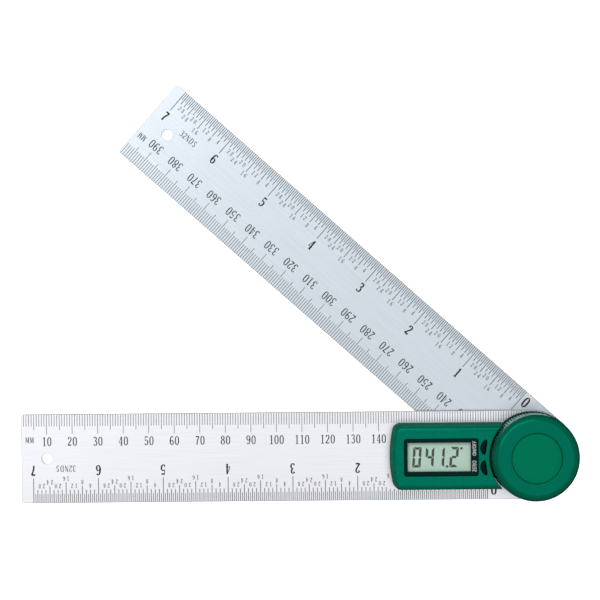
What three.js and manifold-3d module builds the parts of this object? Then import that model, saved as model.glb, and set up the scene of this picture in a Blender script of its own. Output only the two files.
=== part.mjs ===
// Digital angle finder: two 200 mm steel rules on a locking pivot, with a battery-powered display.
// Millimetres, +Z up. The pivot axis is the Z axis and the back cap's flat underside is Z = 0.
// The upper rule lies along -X; the lower rule passes beneath it, turned open by openingDeg.

import * as THREE from 'three';
import { mergeVertices } from 'three/addons/utils/BufferGeometryUtils.js';
import Module from 'manifold-3d';

const wasm = await Module();
wasm.setup();

// Counts and angles
const openingDeg = 41.74;
const fineCircleSteps = 60;
const circleSteps = 40;
const smallCircleSteps = 16;
const toothCount = 90;
const waveCount = 3;
const hubScrewCount = 3;
const lockTabCount = 3;
const capPinCount = 3;
const arcSteps = 20;
const cornerSteps = 4;
const sectorSteps = 6;
const filletSteps = 4;
const hexSides = 6;
const doorTurnDeg = 45;
const doorLugDeg = 30;
const lugPlayDeg = 1.5;
const lockTabFirstDeg = 90;
const capPinFirstDeg = 30;

// Clearances
const runningClearance = 0.1;
const looseClearance = 0.2;
const seatGap = 0.05;
const cutOverrun = 1;

// Rules
const bladeLength = 200;
const bladeLip = 0.3;
const bladeThickness = 1.5;
const bladeCornerRadius = 0.8;
const hangHoleRadius = 2.05;
const hangHoleFromEnd = 10;

// Pivot
const studHeadRadius = 9;
const studHeadThickness = 1;
const studKeyLand = 1.5;
const studKeyStep = 0.2;
const studJournalRadius = 5;
const studThreadRadius = 4;
const studTipGap = 0.4;
const studTipChamfer = 0.6;
const bushWall = 1.3;
const bushFlangeRadius = 12;
const bushFlangeThickness = 0.5;
const bushStandout = 0.3;
const capRadius = 15;
const capSkin = 0.6;
const capChamfer = 0.4;
const capPinRadius = 1.2;
const capPinShortfall = 0.2;

// Case base and its round plinth
const plinthLip = 0.25;
const plinthHeight = 2.4;
const plinthChamfer = 0.3;
const baseThickness = 1;
const neckWidth = 17.6;
const neckLap = 1;
const grooveSideGap = 0.5;
const grooveDepth = 0.7;

// Rotary encoder
const statorThickness = 0.6;
const statorRimGap = 0.23;
const statorBoreGap = 0.6;
const rotorThickness = 0.8;
const rotorInset = 0.3;
const encoderAirGap = 0.5;
const rotorClipRadius = 6.2;
const rotorClipThickness = 0.6;
const springWire = 0.15;
const springWaveHeight = 0.15;
const springRingWidth = 1.1;
const flexThickness = 0.25;
const flexWidth = 7;
const flexUnderStator = 2.5;
// Ribbon's rise and its tail under the board, as shares of the bay between the knob and the coin cell
const flexRiseShare = 0.36;
const flexTailShare = 0.27;

// Lock knob and its friction ring
const knobRadius = 16.85;
const knobFillet = 3.2;
const knobRingWidth = 1.74;
const toothDepth = 0.38;
const toothFootMargin = 0.35;
// One tooth and the groove beside it, as shares of the pitch and of the tooth depth
const toothShare = [[0, 0], [0.5, 0], [0.75, 1]];
const knobRecessRadius = 9.95;
const knobRecessDepth = 1.2;
const knobWeb = 1.3;
const knobBossWall = 1.1;
const badgeThickness = 0.7;
const badgeEdge = 0.15;
const nutAcrossFlats = 13;
const nutThickness = 4;
const nutFootGap = 1.9;
const lockRingThickness = 0.5;
const lockTabWidth = 1.8;
const lockTabDepth = 0.9;
const lockTabRadialWidth = 0.9;

// Display case shell
const caseReach = 55.75;
const caseWall = 1.2;
const caseRoof = 1.2;
const caseDraft = 0.45;
const caseFillet = 2.3;
const caseBowRadius = 50;
const caseCornerRadius = 3.2;
const caseArcGap = 0.5;
const caseArcWall = 1;
const bossRadius = 1.9;
const bossEndLand = 0.45;
const bossSideLand = 1.2;
const bossFromArc = 4.9;

// Window and display
const bezelFromReach = 5.2;
const bezelToKeys = 0.84;
const bezelToBoss = 0.28;
const bezelDepth = 1.65;
const bezelCornerRadius = 1;
const bezelSink = 0.1;
const bezelFrameLeft = 1.28;
const bezelFrameRight = 2.85;
const bezelFrameSide = 1.62;
const bezelFlangeWidth = 0.8;
const lensLap = 0.6;
const lensThickness = 0.8;
const lcdLap = 1.15;
const lcdThickness = 0.9;
const zebraHeight = 0.8;
const zebraWidth = 1.6;
const zebraShortfall = 1.5;
const boardThickness = 0.8;
const boardMargin = 0.4;
const chipRadius = 2.6;
const chipHeight = 0.55;
// Profile of the blob over the chip, as shares of its radius and height
const chipShare = [[0, 0], [1, 0], [0.87, 0.5], [0.5, 1], [0, 1]];

// Keys and their rubber pad
const keyWidth = 2.55;
const keyToBoss = 0.65;
const keyInnerY = 1.2;
const keyFromArc = 0.95;
const keyStandout = 0.4;
const keyFlange = 0.35;
const keyFlangeThickness = 0.5;
const keyTravel = 0.35;
const keyRest = 0.1;
const keyEdge = 0.15;
const padThickness = 0.6;
const padWidth = 3.6;
const padDomeRadius = 1.3;
const padOverhangShare = 0.125;
// Outline of a key, as shares of its width and length, from the end nearest the middle line
const keyOutlineShare = [
  [0.58, 0], [0.76, 0.1], [0.88, 0.5], [1, 0.88], [0.84, 1], [0.36, 0.84], [0.02, 0.5], [0.16, 0.16],
];

// Battery and its door
const cellRadius = 10;
const cellHeight = 3.2;
const cellCapInset = 1.2;
const cellCapStep = 0.35;
const pocketMargin = 0.6;
const pocketToWall = 0.5;
// Place of the cell's pocket between the knob's bay and the bowed end, as a share of the room left
const cellPlaceShare = 0.686;
const pocketClearance = 0.4;
const pocketWall = 0.8;
const pocketTopGap = 0.1;
const doorLugReach = 0.95;
const doorLugThickness = 0.6;
const coinSlotLength = 13;
const coinSlotWidth = 1.6;
const coinSlotDepth = 0.7;
const contactThickness = 0.2;
const contactWidth = 2.4;
const contactGap = 0.45;
const contactLeafLength = 9;

// Screws
const screwRadius = 0.9;
const screwHeadRadius = 1.9;
const screwHeadDepth = 1;
const caseScrewLength = 6;
const hubScrewLength = 3;
const hubScrewInset = 2.8;
const recessLength = 2;
const recessWidth = 0.5;
const recessDepth = 0.5;

// Levels, from the back cap upwards
const zLowerBlade = capSkin + studHeadThickness;
const zBushFlange = zLowerBlade + bladeThickness;
const zUpperBlade = zBushFlange + bushFlangeThickness;
const zTop = zUpperBlade + bladeThickness;
const zPlinthTop = zTop + plinthHeight;
const zStatorTop = zPlinthTop + statorThickness;
const zBushTop = zPlinthTop + bushStandout;
const zRotor = zStatorTop + encoderAirGap;
const zRotorTop = zRotor + rotorThickness;
const zClipTop = zRotorTop + rotorClipThickness;
const zKnobFoot = zPlinthTop + lockRingThickness;
const zKnobCeiling = zClipTop + nutFootGap + nutThickness;
const zRecessFloor = zKnobCeiling + knobWeb;
const zKnobTop = zRecessFloor + knobRecessDepth;
const zBaseTop = zTop + baseThickness;
const zCell = zTop + seatGap;
const zCellTop = zCell + cellHeight;
const zBoard = zCellTop + contactGap;
const zBoardTop = zBoard + boardThickness;
const zLcd = zBoardTop + zebraHeight;
const zLcdTop = zLcd + lcdThickness;
const zBezelFoot = zLcdTop + seatGap;
const zBezelTop = zBezelFoot + bezelDepth;
const zCaseTop = zBezelTop + bezelSink;
const zCaseCeiling = zCaseTop - caseRoof;
const zKeyFlangeTop = zCaseCeiling - keyRest;
const zKeyFoot = zKeyFlangeTop - keyFlangeThickness;
const zDomeTop = zKeyFoot - keyTravel - keyRest;

// Places
const bushRadius = studJournalRadius + runningClearance + bushWall;
const capPinFromAxis = (studHeadRadius + looseClearance + capRadius) / 2;
const knobFootRadius = knobRadius - toothDepth;
const knobHollowRadius = knobFootRadius - knobRingWidth;
const nutCornerRadius = nutAcrossFlats / 2 / Math.cos(Math.PI / hexSides);
const knobBossRadius = nutCornerRadius + knobBossWall;
const plinthRadius = knobRadius + plinthLip;
const bladeWidth = 2 * (plinthRadius + bladeLip);
const hubScrewFromAxis = plinthRadius - hubScrewInset;
const statorRadius = knobHollowRadius - statorRimGap;
const statorBoreRadius = bushRadius + statorBoreGap;
const rotorRadius = statorRadius - rotorInset;
const caseArcRadius = plinthRadius + caseArcGap;
const boardArcRadius = caseArcRadius + caseArcWall + boardMargin;
const pocketRadius = cellRadius + pocketClearance;
const pocketOuterRadius = pocketRadius + pocketWall;
const caseHalfWidth = pocketOuterRadius + pocketToWall + caseWall;
const pocketRoom = caseReach - caseWall - boardArcRadius - 2 * (pocketOuterRadius + pocketMargin);
const flexBay = pocketMargin + pocketRoom * cellPlaceShare;
const cellFromAxis = boardArcRadius + flexBay + pocketOuterRadius;
const plateInset = caseWall + runningClearance;
const screwHoleRadius = screwRadius + runningClearance;
const bowX = -caseReach + caseBowRadius;
const bossY = caseHalfWidth - plateInset - screwHoleRadius - bossSideLand;
const bossBowRadius = caseBowRadius - plateInset - screwHoleRadius - bossEndLand;
const bossLeftX = bowX - Math.sqrt(bossBowRadius ** 2 - bossY ** 2);
const bossRightX = -(caseArcRadius + bossFromArc);
const keyRightX = -(caseArcRadius + keyFromArc);
const keyLeftX = keyRightX - keyWidth;
const keyLength = bossY - bossRadius - keyToBoss - keyInnerY;
const bezelHeight = 2 * (bossY - bossRadius - bezelToBoss);
const bezelLength = caseReach - bezelFromReach + keyLeftX - bezelToKeys;
const bezelX = -caseReach + bezelFromReach + bezelLength / 2;
const bezelFlangeLength = 2 * (bossRightX - bossRadius - seatGap - bezelX);
const viewLength = bezelLength - bezelFrameLeft - bezelFrameRight;
const viewHeight = bezelHeight - 2 * bezelFrameSide;
const viewX = bezelX + (bezelFrameLeft - bezelFrameRight) / 2;
const doorRadius = pocketRadius;
const doorHoleRadius = doorRadius + looseClearance;
const doorLugRadius = doorRadius + doorLugReach;
const lugPocketRadius = doorLugRadius + looseClearance;
const caseScrewPlaces = [
  [bossLeftX, bossY],
  [bossRightX, bossY],
  [bossRightX, -bossY],
  [bossLeftX, -bossY],
];

// Finishes, from the photograph
const finishes = {
  steel: { color: 0xd9dde1, roughness: 0.35, metalness: 1 },
  polishedSteel: { color: 0xc9ccd0, roughness: 0.25, metalness: 1 },
  brass: { color: 0xc8a24a, roughness: 0.35, metalness: 1 },
  greenPlastic: { color: 0x007a5e, roughness: 0.3, metalness: 0 },
  blackPlastic: { color: 0x14181a, roughness: 0.35, metalness: 0 },
  nylon: { color: 0xe8e6dc, roughness: 0.5, metalness: 0 },
  board: { color: 0x1f6b3a, roughness: 0.5, metalness: 0 },
  flex: { color: 0x1a1a1b, roughness: 0.4, metalness: 0 },
  lens: { color: 0xf2f6f5, roughness: 0.05, metalness: 0, transparent: true, opacity: 0.3 },
  lcd: { color: 0xabc6b5, roughness: 0.2, metalness: 0 },
  rubber: { color: 0x2b2d2f, roughness: 0.8, metalness: 0 },
};

// Turns a three.js geometry into a closed solid whose faces point out
function solidOf(geometry) {
  const bare = geometry.clone();
  bare.deleteAttribute('normal');
  bare.deleteAttribute('uv');
  const merged = mergeVertices(bare);
  const position = merged.getAttribute('position');
  const faces = [];
  const corners = [new THREE.Vector3(), new THREE.Vector3(), new THREE.Vector3()];
  let volume = 0;
  for (let i = 0; i < merged.index.count; i += 3) {
    const abc = [merged.index.getX(i), merged.index.getX(i + 1), merged.index.getX(i + 2)];
    if (new Set(abc).size < 3) continue;
    abc.forEach((vertex, k) => corners[k].fromBufferAttribute(position, vertex));
    volume += corners[0].dot(corners[1].clone().cross(corners[2]));
    faces.push(abc);
  }
  const outward = volume > 0 ? faces : faces.map(([a, b, c]) => [a, c, b]);
  return new wasm.Manifold(new wasm.Mesh({
    numProp: 3,
    vertProperties: new Float32Array(position.array),
    triVerts: new Uint32Array(outward.flat()),
  }));
}

function geometryOf(solid) {
  const mesh = solid.getMesh();
  const geometry = new THREE.BufferGeometry();
  geometry.setAttribute('position', new THREE.BufferAttribute(new Float32Array(mesh.vertProperties), 3));
  geometry.setIndex(new THREE.BufferAttribute(new Uint32Array(mesh.triVerts), 1));
  geometry.computeVertexNormals();
  return geometry;
}

const unite = (...solids) => solids.reduce((whole, solid) => whole.add(solid));
const cut = (body, ...tools) => tools.reduce((rest, tool) => rest.subtract(tool), body);
const radians = THREE.MathUtils.degToRad;

function polar(radius, degrees) {
  return new THREE.Vector2(radius * Math.cos(radians(degrees)), radius * Math.sin(radians(degrees)));
}

function prism(shape, z0, z1) {
  const geometry = new THREE.ExtrudeGeometry(shape, { depth: z1 - z0, bevelEnabled: false });
  geometry.translate(0, 0, z0);
  return solidOf(geometry);
}

function circlePoints(radius, steps, x = 0, y = 0) {
  const centre = new THREE.Vector2(x, y);
  return Array.from({ length: steps }, (_, k) => polar(radius, (360 * k) / steps).add(centre));
}

function disc(radius, z0, z1, steps = circleSteps, x = 0, y = 0) {
  return prism(new THREE.Shape(circlePoints(radius, steps, x, y)), z0, z1);
}

function ring(outer, inner, z0, z1, steps = circleSteps, x = 0, y = 0) {
  const shape = new THREE.Shape(circlePoints(outer, steps, x, y));
  shape.holes.push(new THREE.Path(circlePoints(inner, steps, x, y)));
  return prism(shape, z0, z1);
}

// A profile of [radius, height] points turned about the Z axis, at x, y
function revolve(profile, steps = circleSteps, x = 0, y = 0) {
  const points = profile.map(([radius, height]) => new THREE.Vector2(radius, height));
  if (points[0].x > 0 || points[points.length - 1].x > 0) points.push(points[0].clone());
  const geometry = new THREE.LatheGeometry(points, steps);
  geometry.rotateX(Math.PI / 2);
  geometry.translate(x, y, 0);
  return solidOf(geometry);
}

function rectangle(width, height, radius = 0, x = 0, y = 0) {
  const shape = new THREE.Shape();
  if (radius === 0) {
    shape.moveTo(x - width / 2, y - height / 2);
    shape.lineTo(x + width / 2, y - height / 2);
    shape.lineTo(x + width / 2, y + height / 2);
    shape.lineTo(x - width / 2, y + height / 2);
    return shape;
  }
  const right = x + width / 2 - radius;
  const left = x - width / 2 + radius;
  const top = y + height / 2 - radius;
  const bottom = y - height / 2 + radius;
  const corners = [[right, bottom, -90], [right, top, 0], [left, top, 90], [left, bottom, 180]];
  return new THREE.Shape(corners.flatMap(([cornerX, cornerY, start]) => (
    arcPoints(cornerX, cornerY, radius, start, start + 90, cornerSteps))));
}

function box(width, height, z0, z1, x = 0, y = 0) {
  return prism(rectangle(width, height, 0, x, y), z0, z1);
}

function arcPoints(x, y, radius, startDeg, endDeg, steps) {
  const points = [];
  for (let k = 0; k <= steps; k += 1) {
    const place = polar(radius, startDeg + ((endDeg - startDeg) * k) / steps);
    points.push(place.add(new THREE.Vector2(x, y)));
  }
  return points;
}

// A slice of a ring between two angles, centred on x, y
function ringSector(outer, inner, startDeg, endDeg, z0, z1, x = 0, y = 0) {
  const points = arcPoints(x, y, outer, startDeg, endDeg, sectorSteps);
  points.push(...arcPoints(x, y, inner, endDeg, startDeg, sectorSteps));
  return prism(new THREE.Shape(points), z0, z1);
}

// Stacks outlines of equal point count into one closed skin; sections run upwards
function loft(sections) {
  const count = sections[0].points.length;
  const positions = sections.flatMap(({ z, points }) => points.flatMap((point) => [point.x, point.y, z]));
  const faces = [];
  for (let level = 0; level < sections.length - 1; level += 1) {
    for (let k = 0; k < count; k += 1) {
      const next = (k + 1) % count;
      const low = level * count;
      const high = low + count;
      faces.push(low + k, low + next, high + next, low + k, high + next, high + k);
    }
  }
  const last = (sections.length - 1) * count;
  for (const [a, b, c] of THREE.ShapeUtils.triangulateShape(sections[0].points, [])) faces.push(c, b, a);
  for (const [a, b, c] of THREE.ShapeUtils.triangulateShape(sections[sections.length - 1].points, [])) {
    faces.push(last + a, last + b, last + c);
  }
  const geometry = new THREE.BufferGeometry();
  geometry.setAttribute('position', new THREE.Float32BufferAttribute(positions, 3));
  geometry.setIndex(faces);
  return solidOf(geometry);
}

// A countersunk screw seat that opens downwards at height z
function countersink(x, y, z, depth) {
  const wide = screwHeadRadius + runningClearance;
  return revolve([
    [0, z - cutOverrun],
    [wide, z - cutOverrun],
    [wide, z],
    [screwHoleRadius, z + screwHeadDepth],
    [screwHoleRadius, z + depth],
    [0, z + depth],
  ], smallCircleSteps, x, y);
}

const hubScrewPlaces = Array.from({ length: hubScrewCount }, (_, k) => (
  polar(hubScrewFromAxis, (360 * k) / hubScrewCount)));
const capPinPlaces = Array.from({ length: capPinCount }, (_, k) => (
  polar(capPinFromAxis, capPinFirstDeg + (360 * k) / capPinCount)));

// Outline of a rule: square free end at -X, half round about the pivot
function bladeOutline() {
  const half = bladeWidth / 2;
  const points = arcPoints(0, 0, half, -90, 90, arcSteps);
  const endX = -bladeLength + bladeCornerRadius;
  const endY = half - bladeCornerRadius;
  points.push(...arcPoints(endX, endY, bladeCornerRadius, 90, 180, cornerSteps));
  points.push(...arcPoints(endX, -endY, bladeCornerRadius, 180, 270, cornerSteps));
  return new THREE.Shape(points);
}

function hangHole(z) {
  const x = -bladeLength + hangHoleFromEnd;
  return disc(hangHoleRadius, z - cutOverrun, z + bladeThickness + cutOverrun, smallCircleSteps, x);
}

// The door's lugs, seen from above, start at these angles when the door is locked
const lockedLugDegs = [doorTurnDeg / 2 - doorLugDeg / 2, doorTurnDeg / 2 - doorLugDeg / 2 + 180];

function upperBlade() {
  const low = zUpperBlade - cutOverrun;
  const high = zTop + cutOverrun;
  const sheet = prism(bladeOutline(), zUpperBlade, zTop);
  const bore = disc(bushRadius + runningClearance, low, high);
  const doorHole = disc(doorHoleRadius, low, high, circleSteps, -cellFromAxis);
  const notches = lockedLugDegs.map((start) => ringSector(
    lugPocketRadius, doorHoleRadius - looseClearance,
    start - doorTurnDeg - lugPlayDeg, start - doorTurnDeg + doorLugDeg + lugPlayDeg,
    low, high, -cellFromAxis));
  const seatDepth = bladeThickness + cutOverrun;
  const screwSeats = [
    ...caseScrewPlaces.map(([x, y]) => countersink(x, y, zUpperBlade, seatDepth)),
    ...hubScrewPlaces.map((place) => countersink(place.x, place.y, zUpperBlade, seatDepth)),
  ];
  return cut(sheet, bore, doorHole, ...notches, ...screwSeats, hangHole(zUpperBlade));
}

// Round with two flats, which keys the stud to the lower rule
function keyOutline(growth) {
  const radius = studJournalRadius + studKeyLand + growth;
  const flat = studJournalRadius + studKeyStep + growth;
  const half = THREE.MathUtils.radToDeg(Math.asin(flat / radius));
  const points = arcPoints(0, 0, radius, -half, half, cornerSteps * 2);
  points.push(...arcPoints(0, 0, radius, 180 - half, 180 + half, cornerSteps * 2));
  return new THREE.Shape(points);
}

function lowerBlade() {
  const sheet = prism(bladeOutline(), zLowerBlade, zBushFlange);
  const keyHole = prism(keyOutline(runningClearance), zLowerBlade - cutOverrun, zBushFlange + cutOverrun);
  const pinHoles = capPinPlaces.map((place) => disc(
    capPinRadius + runningClearance, zLowerBlade - cutOverrun, zBushFlange + cutOverrun,
    smallCircleSteps, place.x, place.y));
  return cut(sheet, keyHole, ...pinHoles, hangHole(zLowerBlade));
}

function pivotStud() {
  const zThreadTop = zKnobCeiling - studTipGap;
  const head = disc(studHeadRadius, capSkin, zLowerBlade);
  const key = prism(keyOutline(0), capSkin, zBushFlange);
  const shaft = revolve([
    [0, capSkin],
    [studJournalRadius, capSkin],
    [studJournalRadius, zRotor],
    [studThreadRadius, zRotor],
    [studThreadRadius, zThreadTop - studTipChamfer],
    [studThreadRadius - studTipChamfer, zThreadTop],
    [0, zThreadTop],
  ]);
  return unite(head, key, shaft);
}

function backCap() {
  const body = revolve([
    [0, 0],
    [capRadius - capChamfer, 0],
    [capRadius, capChamfer],
    [capRadius, zLowerBlade],
    [0, zLowerBlade],
  ], fineCircleSteps);
  const headRecess = disc(studHeadRadius + looseClearance, capSkin, zLowerBlade + cutOverrun);
  const pins = capPinPlaces.map((place) => disc(
    capPinRadius, capSkin, zBushFlange - capPinShortfall, smallCircleSteps, place.x, place.y));
  return unite(cut(body, headRecess), ...pins);
}

function pivotBush() {
  const bore = studJournalRadius + runningClearance;
  return revolve([
    [bore, zBushFlange],
    [bushFlangeRadius, zBushFlange],
    [bushFlangeRadius, zUpperBlade],
    [bushRadius, zUpperBlade],
    [bushRadius, zBushTop],
    [bore, zBushTop],
  ]);
}

// A three-wave washer: a flat ring whose height follows a sine round the shaft
function waveSpring() {
  const inner = studJournalRadius + looseClearance;
  const outer = inner + springRingWidth;
  const middle = (zBushTop + zRotor) / 2;
  const section = [
    [inner, -springWire / 2], [outer, -springWire / 2], [outer, springWire / 2], [inner, springWire / 2],
  ];
  const corners = section.length;
  const positions = [];
  const faces = [];
  for (let k = 0; k < circleSteps; k += 1) {
    const lift = middle + springWaveHeight * Math.sin((2 * Math.PI * waveCount * k) / circleSteps);
    for (const [radius, height] of section) {
      const place = polar(radius, (360 * k) / circleSteps);
      positions.push(place.x, place.y, lift + height);
    }
    const here = corners * k;
    const next = corners * ((k + 1) % circleSteps);
    for (let side = 0; side < corners; side += 1) {
      const other = (side + 1) % corners;
      faces.push(here + side, here + other, next + other, here + side, next + other, next + side);
    }
  }
  const geometry = new THREE.BufferGeometry();
  geometry.setAttribute('position', new THREE.Float32BufferAttribute(positions, 3));
  geometry.setIndex(faces);
  return solidOf(geometry);
}

function statorBoard() {
  return ring(statorRadius, statorBoreRadius, zPlinthTop, zStatorTop);
}

function rotorBoard() {
  return ring(rotorRadius, studThreadRadius + runningClearance, zRotor, zRotorTop);
}

function rotorClip() {
  return ring(rotorClipRadius, studThreadRadius + runningClearance, zRotorTop, zClipTop, smallCircleSteps);
}

// Ribbon from the encoder's stator, through the groove and, creased twice, up to the main board
function encoderFlex() {
  const zLow = zPlinthTop - (grooveDepth + flexThickness) / 2;
  const zHigh = zBoard - flexThickness - seatGap;
  const start = -statorRadius + flexUnderStator;
  const foldX = -boardArcRadius;
  const liftX = foldX - flexBay * flexRiseShare;
  const end = liftX - flexBay * flexTailShare;
  const folds = [[start, zLow], [foldX, zLow], [liftX, zHigh], [end, zHigh]];
  const under = folds.map(([x, z]) => new THREE.Vector2(x, z));
  const over = under.map((point, k) => {
    const before = under[Math.max(k - 1, 0)];
    const after = under[Math.min(k + 1, under.length - 1)];
    const along = after.clone().sub(before).normalize();
    return new THREE.Vector2(point.x + along.y * flexThickness, point.y - along.x * flexThickness);
  });
  const shape = new THREE.Shape([...under, ...over.reverse()]);
  const geometry = new THREE.ExtrudeGeometry(shape, { depth: flexWidth, bevelEnabled: false });
  geometry.rotateX(Math.PI / 2);
  geometry.translate(0, flexWidth / 2, 0);
  return solidOf(geometry);
}

// Outline of the display case at a given inset from its foot; the hollow end runs round the knob
function caseOutline(inset, arcRadius) {
  const half = caseHalfWidth - inset;
  const bow = caseBowRadius - inset;
  const corner = caseCornerRadius - inset;
  const cornerY = caseHalfWidth - caseCornerRadius;
  const cornerX = bowX - Math.sqrt((caseBowRadius - caseCornerRadius) ** 2 - cornerY ** 2);
  const bowHalf = THREE.MathUtils.radToDeg(Math.asin(cornerY / (caseBowRadius - caseCornerRadius)));
  const arcHalf = THREE.MathUtils.radToDeg(Math.asin(half / arcRadius));
  const points = arcPoints(0, 0, arcRadius, 180 + arcHalf, 180 - arcHalf, arcSteps);
  points.push(...arcPoints(cornerX, cornerY, corner, 90, 180 - bowHalf, cornerSteps));
  const bowPoints = arcPoints(bowX, 0, bow, 180 - bowHalf, 180 + bowHalf, cornerSteps * 2);
  points.push(...bowPoints.slice(1, -1));
  points.push(...arcPoints(cornerX, -cornerY, corner, 180 + bowHalf, 270, cornerSteps));
  return points;
}

function draftAt(z) {
  return (caseDraft * (z - zTop)) / (zCaseTop - zTop);
}

function caseTop() {
  const sections = [{ z: zTop, points: caseOutline(0, caseArcRadius) }];
  const zShoulder = zCaseTop - caseFillet;
  for (let k = 0; k <= filletSteps; k += 1) {
    const turn = (Math.PI / 2) * (k / filletSteps);
    const z = zShoulder + caseFillet * Math.sin(turn);
    const inset = draftAt(zShoulder) + caseFillet * (1 - Math.cos(turn));
    sections.push({ z, points: caseOutline(inset, caseArcRadius) });
  }
  const arcInside = caseArcRadius + caseArcWall;
  const hollow = loft([
    { z: zTop - cutOverrun, points: caseOutline(caseWall, arcInside) },
    { z: zTop, points: caseOutline(caseWall, arcInside) },
    { z: zCaseCeiling, points: caseOutline(caseWall + draftAt(zCaseCeiling), arcInside) },
  ]);
  const bosses = caseScrewPlaces.map(([x, y]) => disc(
    bossRadius, zBaseTop + seatGap, zCaseCeiling + seatGap, smallCircleSteps, x, y));
  const zPilotTop = zUpperBlade + caseScrewLength + looseClearance;
  const pilots = caseScrewPlaces.map(([x, y]) => disc(
    screwHoleRadius, zTop, zPilotTop, smallCircleSteps, x, y));
  const windowOutline = rectangle(
    bezelLength + 2 * runningClearance, bezelHeight + 2 * runningClearance,
    bezelCornerRadius + runningClearance, bezelX);
  const window = prism(windowOutline, zCaseCeiling - cutOverrun, zCaseTop + cutOverrun);
  const keyHoles = [1, -1].map((side) => prism(
    keyOutlineShape(side, runningClearance), zCaseCeiling - cutOverrun, zCaseTop + cutOverrun));
  const slotWidth = neckWidth + 2 * looseClearance;
  const slotTop = zPlinthTop + looseClearance;
  const neckSlot = box(caseArcRadius, slotWidth, zTop - cutOverrun, slotTop, -caseArcRadius);
  const shell = unite(cut(loft(sections), hollow), ...bosses);
  return cut(shell, ...pilots, window, ...keyHoles, neckSlot);
}

function caseBase() {
  const plateOutline = caseOutline(plateInset + draftAt(zBaseTop), boardArcRadius);
  const plate = prism(new THREE.Shape(plateOutline), zTop, zBaseTop);
  const neckLeftX = -(boardArcRadius + neckLap);
  const neckRightX = -plinthRadius / 2;
  const neck = box(neckRightX - neckLeftX, neckWidth, zTop, zBaseTop, (neckLeftX + neckRightX) / 2);
  const plinth = revolve([
    [0, zTop],
    [plinthRadius, zTop],
    [plinthRadius, zPlinthTop - plinthChamfer],
    [plinthRadius - plinthChamfer, zPlinthTop],
    [0, zPlinthTop],
  ], fineCircleSteps);
  const collar = disc(pocketOuterRadius, zTop, zBoard - pocketTopGap, circleSteps, -cellFromAxis);
  const pocket = disc(pocketRadius, zBaseTop, zBoard + cutOverrun, circleSteps, -cellFromAxis);
  const cellHole = disc(doorHoleRadius, zTop - cutOverrun, zBaseTop, circleSteps, -cellFromAxis);
  const lugPockets = lockedLugDegs.map((start) => ringSector(
    lugPocketRadius, doorHoleRadius - looseClearance,
    start - doorTurnDeg - lugPlayDeg, start + doorLugDeg + lugPlayDeg,
    zTop - cutOverrun, zBaseTop, -cellFromAxis));
  const bore = disc(bushRadius + runningClearance, zTop - cutOverrun, zPlinthTop + cutOverrun);
  const grooveLength = plinthRadius - bushRadius + cutOverrun;
  const grooveX = -bushRadius - grooveLength / 2;
  const grooveWidth = flexWidth + 2 * grooveSideGap;
  const groove = box(grooveLength, grooveWidth, zPlinthTop - grooveDepth, zPlinthTop + cutOverrun, grooveX);
  const screwHoles = caseScrewPlaces.map(([x, y]) => disc(
    screwHoleRadius, zTop - cutOverrun, zBaseTop + cutOverrun, smallCircleSteps, x, y));
  const hubHoles = hubScrewPlaces.map((place) => disc(
    screwHoleRadius, zTop - cutOverrun, zUpperBlade + hubScrewLength + looseClearance,
    smallCircleSteps, place.x, place.y));
  const tabSlots = lockTabs(runningClearance, cutOverrun);
  return cut(unite(plate, neck, plinth, collar), pocket, cellHole, ...lugPockets, bore, groove,
    ...screwHoles, ...hubHoles, ...tabSlots);
}

// The friction ring's tabs, or with growth and rise the slots that they slide in
function lockTabs(growth, rise) {
  const middle = (knobFootRadius + knobHollowRadius) / 2;
  const half = THREE.MathUtils.radToDeg((lockTabWidth / 2 + growth) / middle);
  const width = lockTabRadialWidth / 2 + growth;
  const foot = zPlinthTop - lockTabDepth - growth;
  return Array.from({ length: lockTabCount }, (_, k) => {
    const centre = lockTabFirstDeg + (360 * k) / lockTabCount;
    const top = zPlinthTop + rise;
    return ringSector(middle + width, middle - width, centre - half, centre + half, foot, top);
  });
}

function lockRing() {
  const body = ring(knobFootRadius, knobHollowRadius, zPlinthTop, zKnobFoot, fineCircleSteps);
  return unite(body, ...lockTabs(0, lockRingThickness / 2));
}

// Points of the knob's grip: flat-topped teeth parted by vee grooves
function gripPoints() {
  const points = [];
  for (let tooth = 0; tooth < toothCount; tooth += 1) {
    for (const [along, depth] of toothShare) {
      points.push(polar(knobRadius - depth * toothDepth, (360 * (tooth + along)) / toothCount));
    }
  }
  return points;
}

function lockKnob() {
  const zShoulder = zKnobTop - knobFillet;
  const zGripFoot = zKnobFoot + toothFootMargin;
  const fillet = Array.from({ length: filletSteps }, (_, k) => {
    const place = polar(knobFillet, (90 * (k + 1)) / filletSteps);
    return [knobRadius - knobFillet + place.x, zShoulder + place.y];
  });
  const profile = [
    [0, zKnobFoot], [knobFootRadius, zKnobFoot], [knobFootRadius, zShoulder], [knobRadius, zShoulder],
    ...fillet,
    [knobRecessRadius, zKnobTop], [knobRecessRadius, zRecessFloor], [0, zRecessFloor],
  ];
  const body = revolve(profile, fineCircleSteps);
  const grip = prism(new THREE.Shape(gripPoints()), zGripFoot, zShoulder + toothDepth / 2);
  const gripTrim = revolve([
    [0, zShoulder], [knobRadius, zShoulder], fillet[0], [0, zShoulder + knobFillet],
  ], fineCircleSteps);
  const gripInside = disc(knobRadius + cutOverrun, zGripFoot, zShoulder, fineCircleSteps);
  const teeth = grip.intersect(unite(gripInside, gripTrim));
  const hollow = revolve([
    [knobBossRadius, zKnobFoot - cutOverrun],
    [knobHollowRadius, zKnobFoot - cutOverrun],
    [knobHollowRadius, zKnobCeiling],
    [knobBossRadius, zKnobCeiling],
  ], fineCircleSteps);
  const underBoss = disc(knobBossRadius + cutOverrun, zKnobFoot - cutOverrun, zClipTop + encoderAirGap);
  return cut(unite(body, teeth), hollow, underBoss, nutSolid(runningClearance));
}

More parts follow.
